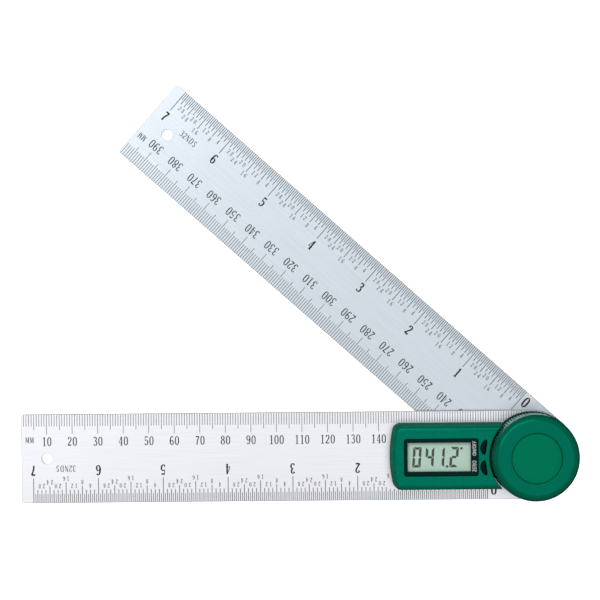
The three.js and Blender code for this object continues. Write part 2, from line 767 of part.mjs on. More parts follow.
// The nut's hexagon, grown by a clearance for its pocket in the knob
function nutSolid(growth) {
  const foot = growth > 0 ? zKnobFoot : zKnobCeiling - nutThickness;
  return disc(nutCornerRadius + growth, foot, zKnobCeiling - seatGap + growth, hexSides);
}

function knobNut() {
  const bore = disc(studThreadRadius + runningClearance, zKnobFoot, zKnobCeiling + cutOverrun);
  return cut(nutSolid(0), bore);
}

function knobBadge() {
  const radius = knobRecessRadius - runningClearance;
  return revolve([
    [0, zRecessFloor],
    [radius, zRecessFloor],
    [radius, zRecessFloor + badgeThickness - badgeEdge],
    [radius - badgeEdge, zRecessFloor + badgeThickness],
    [0, zRecessFloor + badgeThickness],
  ], fineCircleSteps);
}

function windowBezel() {
  const plug = prism(rectangle(bezelLength, bezelHeight, bezelCornerRadius, bezelX), zBezelFoot, zBezelTop);
  const flange = prism(
    rectangle(bezelFlangeLength, bezelHeight + 2 * bezelFlangeWidth, 0, bezelX),
    zBezelFoot, zCaseCeiling - seatGap);
  const view = box(viewLength, viewHeight, zBezelFoot - cutOverrun, zBezelTop + cutOverrun, viewX);
  const lensLength = viewLength + 2 * (lensLap + runningClearance);
  const lensHeight = viewHeight + 2 * (lensLap + runningClearance);
  const rebateTop = zBezelFoot + lensThickness + seatGap;
  const rebate = box(lensLength, lensHeight, zBezelFoot - cutOverrun, rebateTop, viewX);
  return cut(unite(plug, flange), view, rebate);
}

function windowLens() {
  const top = zBezelFoot + lensThickness;
  return box(viewLength + 2 * lensLap, viewHeight + 2 * lensLap, zBezelFoot, top, viewX);
}

function lcdPanel() {
  return box(viewLength + 2 * lcdLap, viewHeight + 2 * lcdLap, zLcd, zLcdTop, viewX);
}

function zebraStrip(side) {
  const y = side * (viewHeight / 2 + lcdLap - zebraWidth / 2);
  return box(viewLength + 2 * lcdLap - 2 * zebraShortfall, zebraWidth, zBoardTop, zLcd, viewX, y);
}

function mainBoard() {
  const inset = caseWall + draftAt(zBoardTop) + boardMargin;
  const sheet = prism(new THREE.Shape(caseOutline(inset, boardArcRadius)), zBoard, zBoardTop);
  const low = zBoard - cutOverrun;
  const high = zBoardTop + cutOverrun;
  const notchRadius = bossRadius + looseClearance;
  const notches = caseScrewPlaces.map(([x, y]) => unite(
    disc(notchRadius, low, high, smallCircleSteps, x, y),
    box(2 * notchRadius, caseHalfWidth, low, high, x, y + Math.sign(y) * caseHalfWidth / 2)));
  return cut(sheet, ...notches);
}

function controllerChip() {
  return revolve(
    chipShare.map(([out, up]) => [chipRadius * out, zBoardTop + chipHeight * up]), smallCircleSteps, viewX);
}

// One key's outline; side is 1 for the upper key and -1 for its mirror image
function keyOutlineShape(side, growth) {
  const places = keyOutlineShare.map(([across, along]) => new THREE.Vector3(
    keyLeftX + keyWidth * across, side * (keyInnerY + keyLength * along), 0));
  const curve = new THREE.CatmullRomCurve3(places, true, 'centripetal');
  const points = curve.getPoints(circleSteps / 2).slice(0, -1);
  const centre = new THREE.Vector3();
  points.forEach((point) => centre.addScaledVector(point, 1 / points.length));
  const grown = points.map((point, k) => {
    const before = points[(k + points.length - 1) % points.length];
    const after = points[(k + 1) % points.length];
    const along = after.clone().sub(before).normalize();
    const outward = new THREE.Vector2(along.y, -along.x);
    if (outward.dot(new THREE.Vector2(point.x - centre.x, point.y - centre.y)) < 0) outward.negate();
    return new THREE.Vector2(point.x, point.y).addScaledVector(outward, growth);
  });
  return new THREE.Shape(grown);
}

function keySolid(side) {
  const cap = prism(keyOutlineShape(side, 0), zKeyFoot, zCaseTop + keyStandout - keyEdge);
  const crown = prism(keyOutlineShape(side, -keyEdge), zKeyFoot, zCaseTop + keyStandout);
  const flange = prism(keyOutlineShape(side, keyFlange), zKeyFoot, zKeyFlangeTop);
  return unite(cap, crown, flange);
}

function keyPad() {
  const right = keyRightX + keyWidth * padOverhangShare;
  const padLength = 2 * (keyInnerY + keyLength);
  const sheet = box(padWidth, padLength, zBoardTop, zBoardTop + padThickness, right - padWidth / 2);
  const domes = [1, -1].map((side) => revolve([
    [0, zBoardTop],
    [padDomeRadius, zBoardTop],
    [padDomeRadius, zBoardTop + padThickness],
    [padDomeRadius / 2, zDomeTop],
    [0, zDomeTop],
  ], smallCircleSteps, (keyLeftX + keyRightX) / 2, side * (keyInnerY + keyLength / 2)));
  const arcTrim = disc(boardArcRadius, zBoard, zCaseCeiling, fineCircleSteps);
  return cut(unite(sheet, ...domes), arcTrim);
}

function coinCell() {
  return revolve([
    [0, zCell],
    [cellRadius, zCell],
    [cellRadius, zCellTop - cellCapStep],
    [cellRadius - cellCapInset, zCellTop - cellCapStep],
    [cellRadius - cellCapInset, zCellTop],
    [0, zCellTop],
  ], circleSteps, -cellFromAxis);
}

// Leaf that bows down from the board onto the cell's middle
function contactNegative() {
  const reach = contactLeafLength / 2;
  const high = zBoard - contactThickness;
  const low = zCellTop + seatGap;
  const points = [
    [-reach, high], [-reach / 2, high], [0, low], [reach / 4, low], [reach / 2, (low + high) / 2],
  ];
  const under = points.map(([x, z]) => new THREE.Vector2(x, z));
  const over = points.map(([x, z]) => new THREE.Vector2(x, z + contactThickness)).reverse();
  const geometry = new THREE.ExtrudeGeometry(
    new THREE.Shape([...under, ...over]), { depth: contactWidth, bevelEnabled: false });
  geometry.rotateX(Math.PI / 2);
  geometry.translate(-cellFromAxis, contactWidth / 2, 0);
  return solidOf(geometry);
}

// Upright leaf beside the cell's rim, folded over under the board
function contactPositive() {
  const inner = cellRadius + seatGap;
  const foldWidth = contactThickness + pocketWall;
  const leafY = inner + contactThickness / 2;
  const leaf = box(contactWidth, contactThickness, zCell + contactThickness, zBoard, -cellFromAxis, leafY);
  const fold = box(
    contactWidth, foldWidth, zBoard - pocketTopGap / 2, zBoard, -cellFromAxis, inner + foldWidth / 2);
  return unite(leaf, fold);
}

function batteryDoor() {
  const plate = disc(doorRadius, zUpperBlade, zTop, circleSteps, -cellFromAxis);
  const lugs = lockedLugDegs.map((start) => unite(
    ringSector(doorRadius, cellRadius + runningClearance, start, start + doorLugDeg,
      zTop - seatGap, zTop + seatGap + doorLugThickness, -cellFromAxis),
    ringSector(doorLugRadius, cellRadius + runningClearance, start, start + doorLugDeg,
      zTop + seatGap, zTop + seatGap + doorLugThickness, -cellFromAxis)));
  const slotTop = zUpperBlade + coinSlotDepth;
  const slot = box(coinSlotLength, coinSlotWidth, zUpperBlade - cutOverrun, slotTop, -cellFromAxis);
  return cut(unite(plate, ...lugs), slot);
}

// Countersunk screw with a cross recess, head down, flush with the upper rule's underside
function screw(x, y, length) {
  const body = revolve([
    [0, zUpperBlade],
    [screwHeadRadius, zUpperBlade],
    [screwRadius, zUpperBlade + screwHeadDepth],
    [screwRadius, zUpperBlade + length],
    [0, zUpperBlade + length],
  ], smallCircleSteps, x, y);
  const cross = unite(
    box(recessLength, recessWidth, zUpperBlade - cutOverrun, zUpperBlade + recessDepth, x, y),
    box(recessWidth, recessLength, zUpperBlade - cutOverrun, zUpperBlade + recessDepth, x, y));
  return cut(body, cross);
}

function piece(name, solid, finish) {
  const mesh = new THREE.Mesh(geometryOf(solid), new THREE.MeshStandardMaterial(finishes[finish]));
  mesh.name = name;
  return mesh;
}

const upperArm = new THREE.Group();
upperArm.add(
  piece('upper_blade', upperBlade(), 'steel'),
  piece('pivot_bush', pivotBush(), 'nylon'),
  piece('wave_spring', waveSpring(), 'polishedSteel'),
  piece('case_base', caseBase(), 'greenPlastic'),
  piece('case_top', caseTop(), 'greenPlastic'),
  piece('stator_board', statorBoard(), 'board'),
  piece('encoder_flex', encoderFlex(), 'flex'),
  piece('window_bezel', windowBezel(), 'blackPlastic'),
  piece('window_lens', windowLens(), 'lens'),
  piece('lcd_panel', lcdPanel(), 'lcd'),
  piece('zebra_strip_upper', zebraStrip(1), 'rubber'),
  piece('zebra_strip_lower', zebraStrip(-1), 'rubber'),
  piece('main_board', mainBoard(), 'board'),
  piece('controller_chip', controllerChip(), 'blackPlastic'),
  piece('key_pad', keyPad(), 'rubber'),
  piece('coin_cell', coinCell(), 'polishedSteel'),
  piece('contact_negative', contactNegative(), 'brass'),
  piece('contact_positive', contactPositive(), 'brass'),
);
caseScrewPlaces.forEach(([x, y], k) => {
  upperArm.add(piece(`case_screw_${k + 1}`, screw(x, y, caseScrewLength), 'polishedSteel'));
});
hubScrewPlaces.forEach((place, k) => {
  upperArm.add(piece(`hub_screw_${k + 1}`, screw(place.x, place.y, hubScrewLength), 'polishedSteel'));
});

const lowerArm = new THREE.Group();
lowerArm.rotation.z = -radians(openingDeg);
lowerArm.add(
  piece('lower_blade', lowerBlade(), 'steel'),
  piece('pivot_stud', pivotStud(), 'polishedSteel'),
  piece('back_cap', backCap(), 'greenPlastic'),
  piece('rotor_board', rotorBoard(), 'board'),
  piece('rotor_clip', rotorClip(), 'brass'),
);

const lock = new THREE.Group();
lock.add(
  piece('lock_ring', lockRing(), 'nylon'),
  piece('lock_knob', lockKnob(), 'greenPlastic'),
  piece('knob_nut', knobNut(), 'brass'),
  piece('knob_badge', knobBadge(), 'greenPlastic'),
);

const controls = new THREE.Group();
controls.add(
  piece('key_on_off', keySolid(1), 'blackPlastic'),
  piece('key_zero', keySolid(-1), 'blackPlastic'),
  piece('battery_door', batteryDoor(), 'blackPlastic'),
);

const angleFinder = new THREE.Group();
angleFinder.add(upperArm, lowerArm, lock, controls);

export default angleFinder;
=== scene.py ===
"""Looks of a digital angle finder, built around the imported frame.

Two graduated steel rules meet at a round lock knob, and a slim display case reads the angle between them.
Lengths in this file are millimetres unless a name says otherwise. Every mesh is turned to metres as it is
made.
"""

import logging
import math
from dataclasses import dataclass
from enum import Enum

import bmesh
import bpy
import numpy as np
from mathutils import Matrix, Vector
from mathutils.geometry import delaunay_2d_cdt


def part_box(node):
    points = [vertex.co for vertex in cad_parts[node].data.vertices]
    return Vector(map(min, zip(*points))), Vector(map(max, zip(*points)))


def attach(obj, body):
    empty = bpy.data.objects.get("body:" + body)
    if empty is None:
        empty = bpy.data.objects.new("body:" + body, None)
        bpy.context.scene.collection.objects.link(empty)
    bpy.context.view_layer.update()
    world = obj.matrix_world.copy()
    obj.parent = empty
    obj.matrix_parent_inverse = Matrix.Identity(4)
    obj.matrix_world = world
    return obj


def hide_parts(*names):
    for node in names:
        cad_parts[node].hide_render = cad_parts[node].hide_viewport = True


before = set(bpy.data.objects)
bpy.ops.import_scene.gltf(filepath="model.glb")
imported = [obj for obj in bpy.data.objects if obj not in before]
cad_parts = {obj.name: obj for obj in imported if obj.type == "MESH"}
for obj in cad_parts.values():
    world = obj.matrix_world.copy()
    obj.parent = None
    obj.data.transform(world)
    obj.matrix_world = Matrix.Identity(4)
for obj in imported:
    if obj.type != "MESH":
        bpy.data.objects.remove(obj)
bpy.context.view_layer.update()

MM = 0.001
# Below this cosine a corner is so sharp that its inset is held back.
SHARPEST_BISECTOR = 0.35
# Points closer than this are one point where an area is closed.
SAME_POINT = 1e-7
# A double point of an arc stands this many degrees apart.
DOUBLE_POINT_DEG = 0.01
OPENING_DEG = 41.74
UPPER_ARM = "upper_arm"
LOWER_ARM = "lower_arm"
KNOB = "knob"
LOG = logging.getLogger("angle_finder")

Array = np.ndarray
Point = tuple[float, float]
Colour = tuple[float, float, float, float]


def low(node: str, axis: int) -> float:
    """Lowest coordinate of a CAD node on one axis, in millimetres."""
    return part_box(node)[0][axis] / MM


def high(node: str, axis: int) -> float:
    """Highest coordinate of a CAD node on one axis, in millimetres."""
    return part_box(node)[1][axis] / MM


# Finishes

def linear(hex_colour: str, alpha: float = 1.0) -> Colour:
    """Turns an sRGB hex colour to linear.

    Args:
        hex_colour: six hex digits.
        alpha: the fourth number of the result.

    Returns:
        Red, green, blue and alpha, each from 0 to 1.
    """
    srgb = np.array([int(hex_colour[i:i + 2], 16) / 255 for i in (0, 2, 4)])
    value = np.where(srgb <= 0.04045, srgb / 12.92, ((srgb + 0.055) / 1.055) ** 2.4)
    return (*(float(v) for v in value), alpha)


class Grain(Enum):
    """How a surface was made, which settles the pattern that its colour, gloss and bump follow."""

    MOULDED = "moulded"
    BRUSHED = "brushed"
    TRACKS = "tracks"
    STRIPES = "stripes"
    PRINTED = "printed"


def add_node(tree: bpy.types.NodeTree, kind: str, settings: dict | None = None,
             inputs: dict | None = None) -> bpy.types.Node:
    """Adds one node to a material.

    Args:
        tree: the material's node tree.
        kind: the node's Blender type.
        settings: properties to set on the node.
        inputs: values for its sockets, by name or number; an output socket is linked instead.

    Returns:
        The new node.
    """
    node = tree.nodes.new(kind)
    for key, value in (settings or {}).items():
        setattr(node, key, value)
    for key, value in (inputs or {}).items():
        if isinstance(value, bpy.types.NodeSocket):
            tree.links.new(value, node.inputs[key])
        else:
            node.inputs[key].default_value = value
    return node


@dataclass(frozen=True)
class Finish:
    """One material: two shades that its grain blends, a range of roughness, and the height of its grain."""

    name: str
    slot: str
    shade: str
    tint: str
    grain: Grain = Grain.MOULDED
    grain_mm: tuple[float, float, float] = (0.5, 0.5, 0.5)
    turn_deg: float = 0.0
    roughness: tuple[float, float] = (0.25, 0.35)
    metallic: float = 0.0
    bump_mm: float = 0.002
    alpha: float = 1.0
    specular: float = 0.5
    reflected_tint: str = "ffffff"

    def pattern(self, tree: bpy.types.NodeTree) -> bpy.types.NodeSocket:
        """The grain as one number from 0 to 1 at every point.

        Args:
            tree: the material's node tree.

        Returns:
            The output socket that carries the grain.
        """
        place = add_node(tree, "ShaderNodeTexCoord")
        turned = add_node(tree, "ShaderNodeMapping", {"vector_type": "TEXTURE"}, {
            "Vector": place.outputs["Object"],
            "Rotation": (0.0, 0.0, math.radians(self.turn_deg)),
            "Scale": tuple(g * MM for g in self.grain_mm),
        })
        where = turned.outputs["Vector"]
        if self.grain is Grain.STRIPES:
            # Ribbon conductors: parallel lines along X.
            bands = add_node(tree, "ShaderNodeTexWave", {"wave_type": "BANDS", "bands_direction": "Y"}, {
                "Vector": where, "Scale": 0.3, "Distortion": 0.0})
            return bands.outputs["Fac"]
        if self.grain is Grain.TRACKS:
            # Copper tracks under solder mask: long bricks whose mortar is the gap between tracks.
            tracks = add_node(tree, "ShaderNodeTexBrick", {"offset": 0.37, "squash": 1.6}, {
                "Vector": where, "Scale": 1.0, "Mortar Size": 0.18, "Mortar Smooth": 0.3,
                "Color1": (1.0, 1.0, 1.0, 1.0), "Color2": (0.8, 0.8, 0.8, 1.0),
                "Mortar": (0.0, 0.0, 0.0, 1.0)})
            return tracks.outputs["Color"]
        detail = {Grain.MOULDED: 2.0, Grain.BRUSHED: 5.0, Grain.PRINTED: 3.0}[self.grain]
        noise = add_node(tree, "ShaderNodeTexNoise", None, {
            "Vector": where, "Scale": 1.0, "Detail": detail, "Roughness": 0.55})
        return noise.outputs["Fac"]

    def material(self) -> bpy.types.Material:
        """The finish as a Blender material, made once."""
        known = bpy.data.materials.get(self.name)
        if known is not None:
            return known
        made = bpy.data.materials.new(self.name)
        made.use_nodes = True
        tree = made.node_tree
        tree.nodes.clear()
        grain = self.pattern(tree)
        colour = add_node(tree, "ShaderNodeMix", {"data_type": "RGBA"}, {
            0: grain, 6: linear(self.shade), 7: linear(self.tint)})
        gloss = add_node(tree, "ShaderNodeMapRange", None, {
            "Value": grain, "To Min": self.roughness[0], "To Max": self.roughness[1]})
        bump = add_node(tree, "ShaderNodeBump", None, {
            "Height": grain, "Strength": 1.0, "Distance": self.bump_mm * MM})
        surface = add_node(tree, "ShaderNodeBsdfPrincipled", None, {
            "Base Color": colour.outputs[2],
            "Roughness": gloss.outputs["Result"],
            "Normal": bump.outputs["Normal"],
            "Metallic": self.metallic,
            "Alpha": self.alpha,
            "Specular IOR Level": self.specular,
            "Specular Tint": linear(self.reflected_tint),
        })
        add_node(tree, "ShaderNodeOutputMaterial", None, {"Surface": surface.outputs["BSDF"]})
        return made


# Stainless spring steel, ground lengthwise and then satin chromed: bright, with soft streaks along the rule.
# A grinding line is about 0.05 mm, drawn 0.45 mm wide so that it shows.
UPPER_STEEL = Finish("satin_chromed_steel_upper_rule", "satin_steel", "d0d0d5", "e6e6e9", Grain.BRUSHED,
                     grain_mm=(22, 0.45, 1), roughness=(0.34, 0.44), metallic=1, bump_mm=0.0012)
# The lower rule takes the same steel with a darker, bluer colour: a painted shade for the weaker light on
# it.
LOWER_STEEL_PAINTED_SHADE = Finish("satin_chromed_steel_lower_rule_painted_shade", "satin_steel", "b0b7be", "c8cfd6", Grain.BRUSHED,
                     grain_mm=(22, 0.45, 1), turn_deg=-OPENING_DEG, roughness=(0.34, 0.44), metallic=1,
                     bump_mm=0.0012)
# The sheet's sheared edges are rougher than its faces, so that a thin grey line runs round the rule.
SHEARED_EDGE = Finish("sheared_steel_edge", "satin_steel", "b4b9bc", "c8ccd0", Grain.BRUSHED,
                      grain_mm=(6, 0.3, 1), roughness=(0.5, 0.65), metallic=1, bump_mm=0.002)
# The hanging hole is punched: a torn, frosty bore that scatters light. Its colour is painted paler than
# the rule's faces, a painted light, so that the bore stays pale.
PUNCHED_BORE_PAINTED_LIGHT = Finish("punched_steel_bore_painted_light", "satin_steel", "e4e6e8", "f6f7f8", roughness=(0.8, 0.95),
                      grain_mm=(0.3, 0.3, 0.6), metallic=0.2, bump_mm=0.002)


def ink(name: str, shade: str, tint: str) -> Finish:
    """Black oxide fill of an etched line or figure: matt, and worn, so that finer marks read paler."""
    return Finish(name, "satin_steel", shade, tint, Grain.PRINTED, grain_mm=(0.6, 0.6, 0.6),
                  roughness=(0.55, 0.8), bump_mm=0.001)


BOLD_INK = ink("etched_scale_fill", "14171b", "2c3036")
FIGURE_INK = ink("etched_figures", "2c3136", "484e54")
FINE_INK = ink("etched_fine_lines", "3a4042", "5c6366")
FAINT_INK = ink("etched_part_figures", "70767b", "8c9297")
# Gloss ABS from a polished mould: even green, with the faint ripple of flowed plastic.
GREEN_ABS = Finish("gloss_green_abs", "green_abs", "005741", "006950", roughness=(0.22, 0.3),
                   grain_mm=(1.6, 1.6, 1.6), bump_mm=0.004, reflected_tint="20ffda")
# The mould's sides are spark eroded, so that the moulding lets go: the same green, matt, and dark where it
# is seen at a glancing angle.
GREEN_SIDE = Finish("eroded_green_abs_side", "green_abs", "005a46", "006e58", roughness=(0.6, 0.75),
                    grain_mm=(0.3, 0.3, 0.3), bump_mm=0.006, specular=0.06, reflected_tint="20ffda")
# The knob's green is a shade darker than the case's.
KNOB_ABS = Finish("knob_green_abs", "green_abs", "00503a", "006048", roughness=(0.22, 0.3),
                  grain_mm=(1.6, 1.6, 1.6), bump_mm=0.004, reflected_tint="20ffda")
# The serrations are glossy, and their green is painted much lighter than the knob's: a painted
# highlight, so that their crests flash.
KNURL_PAINTED_HIGHLIGHT = Finish("polished_green_abs_serrations_painted_highlight", "green_abs", "1c6e5c", "2c8672", roughness=(0.14, 0.22),
                   grain_mm=(1.2, 1.2, 1.2), bump_mm=0.002, specular=1.0, reflected_tint="b0fff0")
# The foot is eroded all over, and its green is painted dark: a painted shade from the knob's overhang,
# so that it reads as a dark rim.
FOOT_PAINTED_SHADE = Finish("eroded_green_abs_foot_painted_shade", "green_abs", "00302c", "003e38", roughness=(0.6, 0.75),
                  grain_mm=(0.3, 0.3, 0.3), bump_mm=0.006, specular=0.06, reflected_tint="20ffda")
# The badge is a separate moulding and takes the same green a shade deeper.
BADGE_ABS = Finish("badge_green_abs", "green_abs", "005c3c", "006943", roughness=(0.26, 0.34),
                   grain_mm=(1.6, 1.6, 1.6), bump_mm=0.003, reflected_tint="20ffda")
# Gloss black ABS, moulded against a polished face: a deep black that mirrors the room a little.
BLACK_ABS = Finish("gloss_black_abs", "black_abs", "030c0b", "061412", roughness=(0.18, 0.28),
                   grain_mm=(0.8, 0.8, 0.8), bump_mm=0.003, specular=0.16, reflected_tint="60e8dc")
# Keys are hard moulded caps, polished by fingers: near black, with a narrow shine.
KEY_ABS = Finish("polished_key_abs", "black_abs", "020606", "040a0a", roughness=(0.12, 0.2),
                 grain_mm=(0.8, 0.8, 0.8), bump_mm=0.002, specular=0.14, reflected_tint="a0d0cc")
# The battery door is the same black ABS from a textured mould, so that it looks charcoal and grips a thumb.
DOOR_ABS = Finish("textured_door_abs", "black_abs", "0b0d0e", "191c1e", roughness=(0.4, 0.6),
                  grain_mm=(0.25, 0.25, 0.25), bump_mm=0.02)
# A drop of black epoxy that was poured over the chip: glossy, and slightly wavy.
CHIP_EPOXY = Finish("glob_top_epoxy", "black_abs", "050505", "121212", roughness=(0.15, 0.3),
                    grain_mm=(0.7, 0.7, 0.7), bump_mm=0.01)
# Pad printing is a thin, even film of white ink.
WHITE_PRINT = Finish("pad_printed_white", "black_abs", "b4b8ba", "d0d4d5", Grain.PRINTED,
                     grain_mm=(0.3, 0.3, 0.3), roughness=(0.4, 0.6), bump_mm=0.001)
# A reflective twisted-nematic display: grey-green polariser over a fine-grained reflector.
LCD_GLASS = Finish("reflective_display_glass", "lcd", "b0d4ca", "c0d8be", grain_mm=(14, 9, 5),
                   roughness=(0.25, 0.4), bump_mm=0.0, specular=0.2)
# A driven segment takes nearly all the light, so that it is a dark blue green.
LCD_SEGMENT = Finish("driven_display_segment", "lcd", "011510", "05201a", Grain.PRINTED,
                     grain_mm=(0.5, 0.5, 0.5), roughness=(0.25, 0.4), bump_mm=0.0)
# Clear moulded acrylic: it can hardly be seen but for its shine.
CLEAR_ACRYLIC = Finish("clear_acrylic_window", "clear_lens", "a0aaa6", "b0bab6", grain_mm=(3, 3, 3),
                       roughness=(0.04, 0.1), bump_mm=0.001, alpha=0.04)
# Turned or rolled steel, zinc plated: bright, with the finest of tool marks.
BRIGHT_STEEL = Finish("turned_bright_steel", "bright_steel", "b9bcc1", "dcdee2", Grain.BRUSHED,
                      grain_mm=(0.15, 0.15, 0.15), roughness=(0.22, 0.35), metallic=1)
# A cell's can is nickel plated and drawn, with faint lines from the rolling mill.
CELL_STEEL = Finish("nickel_plated_cell_can", "bright_steel", "b4b4b0", "d6d6d2", Grain.BRUSHED,
                    grain_mm=(0.4, 6, 1), roughness=(0.25, 0.38), metallic=1)
# Rolled brass strip, warm yellow, streaked along the strip.
SPRING_BRASS = Finish("rolled_brass", "spring_brass", "b48a3a", "dcb863", Grain.BRUSHED,
                      grain_mm=(3, 0.2, 0.2), roughness=(0.25, 0.4), metallic=1)
# Natural nylon is creamy white and waxy.
NYLON = Finish("natural_nylon", "nylon", "dcd8cb", "efece2", roughness=(0.4, 0.55),
               grain_mm=(0.8, 0.8, 0.8), bump_mm=0.006)
# Green solder mask over copper: darker in the gaps between the tracks, which are about 0.5 mm apart.
SOLDER_MASK = Finish("solder_mask_over_tracks", "circuit_board", "0f3a1f", "1f6b3a", Grain.TRACKS,
                     grain_mm=(2.4, 0.5, 1), roughness=(0.3, 0.5), bump_mm=0.02)
# Black coverlay film over a ribbon's conductors, which show as fine ridges 0.5 mm apart. Its black is
# also a painted shade for the gap between the knob and the case, where the ribbon shows.
RIBBON_FILM_AND_SHADE = Finish("black_coverlay_ribbon_and_shade", "flex_ribbon", "0c0c0d", "1c1a18", Grain.STRIPES,
                     grain_mm=(1, 0.5, 1), roughness=(0.25, 0.4), bump_mm=0.01)
# Moulded silicone: dark grey and matt.
RUBBER = Finish("silicone_rubber", "rubber", "1c1e1f", "303335", roughness=(0.65, 0.85),
                grain_mm=(0.4, 0.4, 0.4), bump_mm=0.01)

NODE_FINISHES = {
    "pivot_bush": NYLON, "wave_spring": BRIGHT_STEEL, "case_base": FOOT_PAINTED_SHADE, "stator_board": SOLDER_MASK,
    "encoder_flex": RIBBON_FILM_AND_SHADE, "window_lens": CLEAR_ACRYLIC, "zebra_strip_upper": RUBBER,
    "zebra_strip_lower": RUBBER, "main_board": SOLDER_MASK, "controller_chip": CHIP_EPOXY,
    "key_pad": RUBBER, "coin_cell": CELL_STEEL, "contact_negative": SPRING_BRASS,
    "contact_positive": SPRING_BRASS, "pivot_stud": BRIGHT_STEEL, "rotor_board": SOLDER_MASK,
    "rotor_clip": SPRING_BRASS, "lock_ring": NYLON, "knob_nut": SPRING_BRASS,
}


# Outlines in plan, as closed loops of points

def arc(centre: Point, radius: float, start_deg: float, end_deg: float, steps: int) -> Array:
    """Points of an arc: the centre plus the radius at evenly spaced angles, both ends included."""
    turn = np.radians(np.linspace(start_deg, end_deg, steps + 1))
    return np.array(centre) + radius * np.column_stack([np.cos(turn), np.sin(turn)])


def circle(radius: float, steps: int, centre: Point = (0.0, 0.0)) -> Array:
    """A full circle that runs anticlockwise, without its first point repeated."""
    return arc(centre, radius, 0, 360, steps)[:-1]


def thirds(radius: float, start_deg: float) -> list[Point]:
    """Three places on a circle about the pivot, a third of a turn apart."""
    angles = [math.radians(start_deg + 120 * k) for k in range(3)]
    return [(radius * math.cos(a), radius * math.sin(a)) for a in angles]


def rounded_rectangle(length: float, width: float, radius: float, centre: Point = (0.0, 0.0),
                      steps: int = 8) -> Array:
    """A rectangle whose corners are quarter circles, anticlockwise."""
    half = np.array([length, width]) / 2 - radius
    corners = [(1, -1, -90), (1, 1, 0), (-1, 1, 90), (-1, -1, 180)]
    return np.concatenate([
        arc((centre[0] + x * half[0], centre[1] + y * half[1]), radius, start, start + 90, steps)
        for x, y, start in corners])


def smooth_curve(places: Array, steps: int, closed: bool) -> Array:
    """A curve through given places: between two of them, the cubic whose slopes are half the chord from the
    place before to the place after.

    Args:
        places: the points to pass through, one a row.
        steps: points to a stretch.
        closed: whether the curve runs back to its start.

    Returns:
        The curve's points, one a row.
    """
    if closed:
        before, here = np.roll(places, 1, 0), places
        after, beyond = np.roll(places, -1, 0), np.roll(places, -2, 0)
    else:
        padded = np.vstack([2 * places[0] - places[1], places, 2 * places[-1] - places[-2]])
        before, here, after, beyond = padded[:-3], padded[1:-2], padded[2:-1], padded[3:]
    t = (np.arange(steps) / steps)[None, :, None]
    p0, p1, p2, p3 = (p[:, None, :] for p in (before, here, after, beyond))
    curve = 0.5 * (2 * p1 + (p2 - p0) * t + (2 * p0 - 5 * p1 + 4 * p2 - p3) * t ** 2
                   + (3 * p1 - p0 - 3 * p2 + p3) * t ** 3)
    curve = curve.reshape(-1, 2)
    return curve if closed else np.vstack([curve, places[-1]])


def directions(path: Array, closed: bool) -> Array:
    """Which way a path runs at each of its points: from the point before to the point after."""
    return np.roll(path, -1, 0) - np.roll(path, 1, 0) if closed else np.gradient(path, axis=0)


def inset(loop: Array, distance: float) -> Array:
    """Moves a closed loop to its left by a distance: each point goes along the bisector of its two sides,
    far enough that both sides move by that distance."""
    along = np.roll(loop, -1, 0) - loop
    along /= np.linalg.norm(along, axis=1, keepdims=True)
    left = np.column_stack([-along[:, 1], along[:, 0]])
    both = left + np.roll(left, 1, 0)
    both /= np.linalg.norm(both, axis=1, keepdims=True)
    reach = np.maximum(np.sum(both * left, axis=1, keepdims=True), SHARPEST_BISECTOR)
    return loop + both * distance / reach


def turned(points: Array, degrees: float) -> Array:
    """Turns points about the Z axis; heights, where there are any, stay."""
    c, s = math.cos(math.radians(degrees)), math.sin(math.radians(degrees))
    result = points.copy()
    result[..., 0] = c * points[..., 0] - s * points[..., 1]
    result[..., 1] = s * points[..., 0] + c * points[..., 1]
    return result


def inside(points: Array, loops: list[Array]) -> Array:
    """Whether each point lies in the area that the loops enclose, where a loop in a loop is a hole: a line
    from the point towards +X then crosses their sides an odd number of times."""
    crossings = np.zeros(len(points), int)
    x, y = points[:, 0, None], points[:, 1, None]
    for loop in loops:
        a, b = loop, np.roll(loop, -1, 0)
        spans = (a[:, 1] > y) != (b[:, 1] > y)
        rise = np.where(a[:, 1] == b[:, 1], 1.0, b[:, 1] - a[:, 1])
        cut = a[:, 0] + (y - a[:, 1]) * (b[:, 0] - a[:, 0]) / rise
        crossings += np.sum(spans & (x < cut), axis=1)
    return crossings % 2 == 1


def edge_rings(bottom: float, top: float, radius: float, steps: int = 3) -> list[Point]:
    """Height and inset of each ring of a side whose two edges are rounded: quarter circles of the radius,
    from the underside's flat up to the top's flat."""
    turn = np.linspace(0, math.pi / 2, steps + 1)
    into, rise = radius * (1 - np.sin(turn)), radius * (1 - np.cos(turn))
    lower = list(zip(bottom + rise, into))
    upper = [(top - z + bottom, d) for z, d in reversed(lower)]
    return lower + upper


# Closed surfaces

